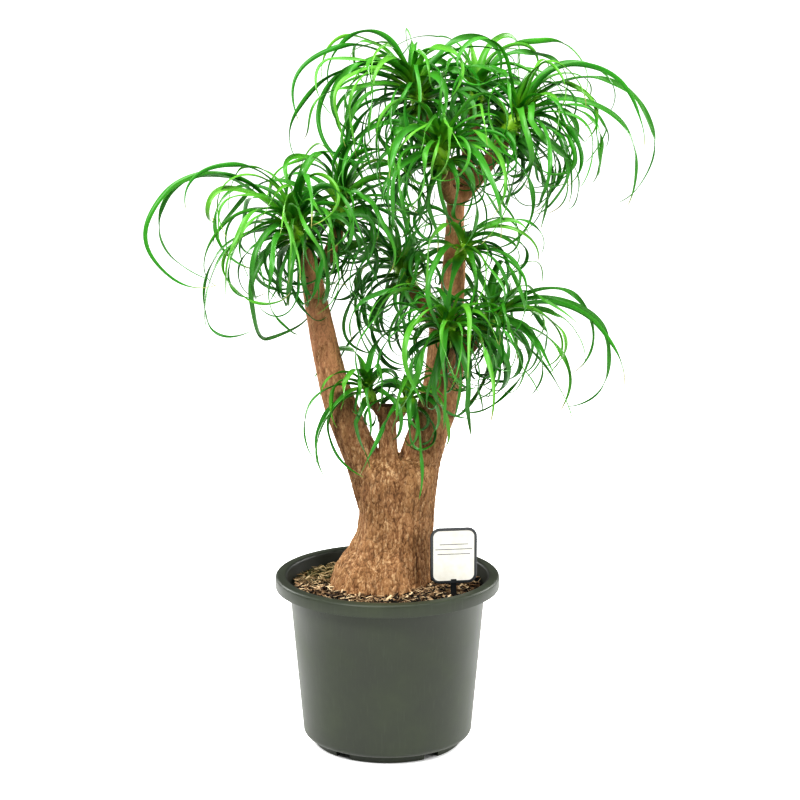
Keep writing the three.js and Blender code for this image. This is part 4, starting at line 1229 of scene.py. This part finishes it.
def blade(leaf, line):
    """A leaf along its line, as a closed solid with its facts."""
    places, along, across = wandered(leaf, *(through(rows, 2) for rows in line))
    up = np.cross(along, across)
    share = np.linspace(0, 1, len(places))
    clasp = CLASP * np.exp(-(((share - CLASP_PLACE) / CLASP_REACH) ** 2))
    strap = STRAP * leaf.width * np.minimum(1, 0.2 + 6 * share) * (1 - share**TAPER)
    width = strap * (1 + clasp) + TIP_WIDTH
    # The channel is deepest at the base, and the edges ripple a little further on.
    channel = mix(CHANNEL_BASE, CHANNEL_FURTHER, np.minimum(1, 1.8 * share))
    ripple = RIPPLE * np.sin(share * leaf.length / RIPPLE_LENGTH + 20 * leaf.luck) * np.sin(np.pi * share)
    half = width[:, None] / 2
    top_high = channel[:, None] * width[:, None] * np.abs(TOP) ** 1.5 + ripple[:, None] * TOP
    below_high = channel[:, None] * width[:, None] * np.abs(BELOW) ** 1.5 + ripple[:, None] * BELOW - THICK
    u = np.concatenate([TOP, BELOW])
    high = np.concatenate([top_high, below_high], axis=1)
    rings = places[:, None] + (half * u)[..., None] * across[:, None] + high[..., None] * up[:, None]
    # Seen along the leaf, the corners run round it the other way than skin() takes them.
    rings = rings[:, ::-1]
    points, faces = skin(rings[:-1], tip=places[-1:])
    lay = np.append((half * u)[:-1, ::-1].ravel(), 0)
    under = np.append(np.tile([1, 1, 1, 0, 0, 0, 0, 0], len(share) - 1), 0)
    run = np.append(np.repeat(share[:-1], 8), 1)
    return points, faces, dict(across=lay, along=run, reach=run * leaf.length, under=under,
                               age=leaf.age, luck=leaf.luck)


print("round a blade run", len(TOP) + len(BELOW), "corners")

# %% The heads as pieces
CORE_SIDES = 24


def core(head):
    """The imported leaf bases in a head's middle, with the edge of each base standing up as a ridge."""
    shape = through([(0.0, 0.96), (1.2, 1.1), (3.2, 1.0), (4.8, 0.4)], 4)
    line = head.seat + head.axis * (GAP + shape[:, :1] * head.radius)
    rings = tube(line, shape[:, 1] * head.radius, CORE_SIDES)
    middle = line[:, None]
    ridge = 1 + 0.07 * np.sin(np.arange(CORE_SIDES) * 2 * math.pi / 6 + shape[:, :1] * 2)
    rings = middle + (rings - middle) * ridge[..., None]
    points, faces = skin(rings)
    return points, faces, dict(across=0, along=0.03, reach=points[:, 2], under=0, age=0.1, luck=0.5)


for head in HEADS:
    heap = Heap()
    points, faces, facts_of = core(head)
    heap.put(points, faces, **facts_of)
    for leaf, line in grown[head.name]:
        points, faces, facts_of = blade(leaf, line)
        heap.put(points, faces, **facts_of)
    piece("leaves_" + head.name, heap, waxy_leaf, ["head_" + head.name], sharp=60)

# %% [markdown]
# ## The label
#
# Growers push a plastic label into the pot. It is one moulding: a plate with a raised rim round each face,
# and a pointed stake. The faces here are bare but for three faint ruled lines. The rim is dark and the
# faces are white, so they are two materials on one plastic.

# %% Materials: printed and dyed polystyrene
def polystyrene(name, code, worn):
    """Smooth moulded plastic in one colour, a little yellowed and scuffed."""
    made, tree = new_material(name)
    where = add(tree, "TexCoord").outputs["Object"]
    wear = add(tree, "TexNoise", {"Vector": where, "Scale": per(12), "Detail": 4.0})
    share = add(tree, "MapRange", {0: wear.outputs["Fac"], 1: 0.4, 2: 0.75, 3: 0.0, 4: 0.5})
    tint = add(tree, "Mix", {FACTOR: share.outputs[0], FIRST: colour(code), SECOND: colour(worn)},
               data_type="RGBA")
    fine = add(tree, "TexNoise", {"Vector": where, "Scale": per(1.2), "Detail": 2.0})
    grained = add(tree, "Bump", {"Strength": 0.1, "Distance": 0.1 * MM, "Height": fine.outputs["Fac"]})
    gloss = add(tree, "MapRange", {0: wear.outputs["Fac"], 3: 0.28, 4: 0.42})
    shader = add(tree, "BsdfPrincipled", {"Base Color": tint.outputs[MIXED], "IOR": 1.59,
                                          "Roughness": gloss.outputs[0],
                                          "Normal": grained.outputs["Normal"]})
    add(tree, "OutputMaterial", {"Surface": shader.outputs[0]})
    return made


white_polystyrene = polystyrene("white_polystyrene", "f1efe6", "d9d6c4")
dark_polystyrene = polystyrene("dark_polystyrene", "1c2022", "2c3032")
print("label materials:", white_polystyrene.name, dark_polystyrene.name)

# %% The outline of the label
LABEL_SIZE = (66, 80, 3)  # width, height, thickness
LABEL_CORNER = 13
LABEL_PLACE = (93, -62, 250)  # the middle of the plate's lower edge
LABEL_TURN = 8  # degrees
CORNER_STEPS = 8


def rounded_plate(inset, depth):
    """A ring of points round the plate, this far in from its edge, at this depth from its middle."""
    width, height, _ = LABEL_SIZE
    radius = LABEL_CORNER - inset
    ring = []
    for x, z, start in ((1, 0, -90), (1, 1, 0), (-1, 1, 90), (-1, 0, 180)):
        middle = (x * (width / 2 - LABEL_CORNER), LABEL_CORNER + z * (height - 2 * LABEL_CORNER))
        ring += [(a, depth, b) for a, b in rounded(*middle, radius, start, start + 90, CORNER_STEPS)]
    return ring


def stood(points):
    """Points of the label, put in their place in the pot."""
    turned_points = turn_about(np.array(points, float), math.radians(LABEL_TURN), 0, 0)
    return turned_points + LABEL_PLACE


print("round the label run", len(rounded_plate(0, 0)), "corners")

# %% The label
LABEL_BORDER = 4
LABEL_RECESS = 0.6
STAKE_WIDTH = 8
STAKE_POINT = 14
STAKE_DEPTH = 60  # in the mix
RULED = [(56, 20), (49, 26), (42, 23)]  # height of each faint line, and half its length
RULE_WIDTH = 0.8

thick = LABEL_SIZE[2] / 2
rim = [(LABEL_BORDER, thick - LABEL_RECESS), (LABEL_BORDER - 0.7, thick - 0.1), (0.6, thick),
       (0, thick - 0.6)]
rings = [rounded_plate(inset, depth) for inset, depth in rim]
rings += [rounded_plate(inset, -depth) for inset, depth in reversed(rim)]
label = Heap()
points, faces = skin(stood(np.array(rings).reshape(-1, 3)).reshape(len(rings), -1, 3))
label.put(points, faces)
plate_faces = len(faces)

bottom = SOIL_TOP - LABEL_PLACE[2] - STAKE_DEPTH
edges = [(bottom, 0.5), (bottom + STAKE_POINT, STAKE_WIDTH / 2), (6, STAKE_WIDTH / 2)]
rings = [[(-half, -1.1, z), (half, -1.1, z), (half, 1.1, z), (-half, 1.1, z)] for z, half in edges]
points, faces = skin(stood(np.array(rings).reshape(-1, 3)).reshape(3, 4, 3))
label.put(points, faces)
for height, half in RULED:
    face = -(thick - LABEL_RECESS)
    line = [[(-half, face + 0.1, z), (half, face + 0.1, z), (half, face - 0.12, z), (-half, face - 0.12, z)]
            for z in (height, height + RULE_WIDTH)]
    points, faces = skin(stood(np.array(line, float).reshape(-1, 3)).reshape(2, 4, 3)[:, ::-1])
    label.put(points, faces)
plate = piece("label_plate", label, dark_polystyrene, ["label"], sharp=35)
plate.data.materials.append(white_polystyrene)
for i in (plate_faces - 1, plate_faces - 2):
    plate.data.polygons[i].material_index = 1
print("the label's faces are white:", sum(p.material_index for p in plate.data.polygons), "faces")

# %% [markdown]
# ## Floor and light
#
# The plant was photographed on a white sweep, with big soft lights. A plain pale floor and a nearly white
# surround do the same, and give every shiny leaf something pale to reflect. One large light from the upper
# left shapes the trunk, one overhead lights the leaves, a weaker one fills the right, and two behind draw a
# bright line round the leaves.

# %% Floor
FLOOR_SIZE = 240  # metres
FLOOR_DROP = 0.6  # mm below the pot, so that the two don't flicker

pale_floor, tree = new_material("pale_floor")
where = add(tree, "TexCoord").outputs["Object"]
cloud = add(tree, "TexNoise", {"Vector": where, "Scale": per(400), "Detail": 2.0})
paper = add(tree, "ValToRGB", {"Fac": cloud.outputs["Fac"]}, stops=[(0.3, "f3f3f2"), (0.7, "fafafa")])
# The glow stops under the pot: a painted contact shadow.
level = add(tree, "Mapping", {"Vector": where, "Scale": (1, 1, 0)})
from_pot = add(tree, "VectorMath", {0: level.outputs["Vector"]}, operation="LENGTH")
glow = add(tree, "MapRange", {0: from_pot.outputs["Value"], 1: 0.1, 2: 0.118, 3: 0.0, 4: 0.75})
shader = add(tree, "BsdfPrincipled", {"Base Color": paper.outputs["Color"], "Roughness": 0.7,
                                      "Emission Color": (1, 1, 1, 1), "Emission Strength": glow.outputs[0]})
add(tree, "OutputMaterial", {"Surface": shader.outputs[0]})

corners = [(-1, -1, 0), (1, -1, 0), (1, 1, 0), (-1, 1, 0)]
sweep = bpy.data.meshes.new("floor")
sweep.from_pydata([(Vector(c) * FLOOR_SIZE / 2) for c in corners], [], [(0, 1, 2, 3)])
sweep.materials.append(pale_floor)
floor = bpy.data.objects.new("floor", sweep)
floor.location.z = -FLOOR_DROP * MM
bpy.context.collection.objects.link(floor)
# The floor doesn't light the plant from below, so the shade under the leaves stays deep.
floor.visible_diffuse = False
floor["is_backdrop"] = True
print("floor:", FLOOR_SIZE, "m wide")

# %% Lights
LIGHTS = [  # name, place and aim in metres, size in metres, watts
    ("key", (-1.4, -2.0, 2.5), (0, 0, 0.6), 1.0, 74),
    ("top", (0.3, -0.5, 2.9), (0, 0, 0.6), 1.4, 40),
    ("fill", (2.2, -1.5, 1.3), (0, 0, 0.6), 1.2, 26),
    ("left_edge", (-1.7, 1.2, 1.2), (0, 0, 0.6), 0.9, 26),
    ("right_edge", (1.8, 1.1, 1.1), (0, 0, 0.6), 0.9, 26),
]

for name, place, aim, size, watts in LIGHTS:
    lamp = bpy.data.lights.new(name, "AREA")
    lamp.size = size
    lamp.energy = watts
    holder = bpy.data.objects.new(name, lamp)
    holder.location = place
    holder.rotation_euler = (Vector(aim) - Vector(place)).to_track_quat("-Z", "Y").to_euler()
    bpy.context.collection.objects.link(holder)
print("lights:", [name for name, *_ in LIGHTS])

# %% Surround and view
# The camera sees a white surround, and the plant is lit by a greyer one.
world = bpy.data.worlds.new("studio")
bpy.context.scene.world = world
world.use_nodes = True
tree = world.node_tree
tree.nodes.clear()
seen = add(tree, "LightPath")
strength = add(tree, "MapRange", {0: seen.outputs["Is Camera Ray"], 3: 0.24, 4: 1.0})
glow = add(tree, "Background", {"Color": (1, 1, 1, 1), "Strength": strength.outputs[0]})
add(tree, "OutputWorld", {"Surface": glow.outputs[0]})
view = bpy.context.scene.view_settings
view.view_transform = "Standard"
view.look = "High Contrast"  # the photograph was printed hard, with deep shade
print("view:", view.view_transform, view.look)

# %% [markdown]
# ## Measure and finish
#
# The pieces must stand where the measured solids do, so the last step writes down both boxes.

# %% Both boxes, and finish
low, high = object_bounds()
print("box in mm:", [round(x / MM) for x in high - low])
print("against", [round(x / MM) for x in cad_high - cad_low])
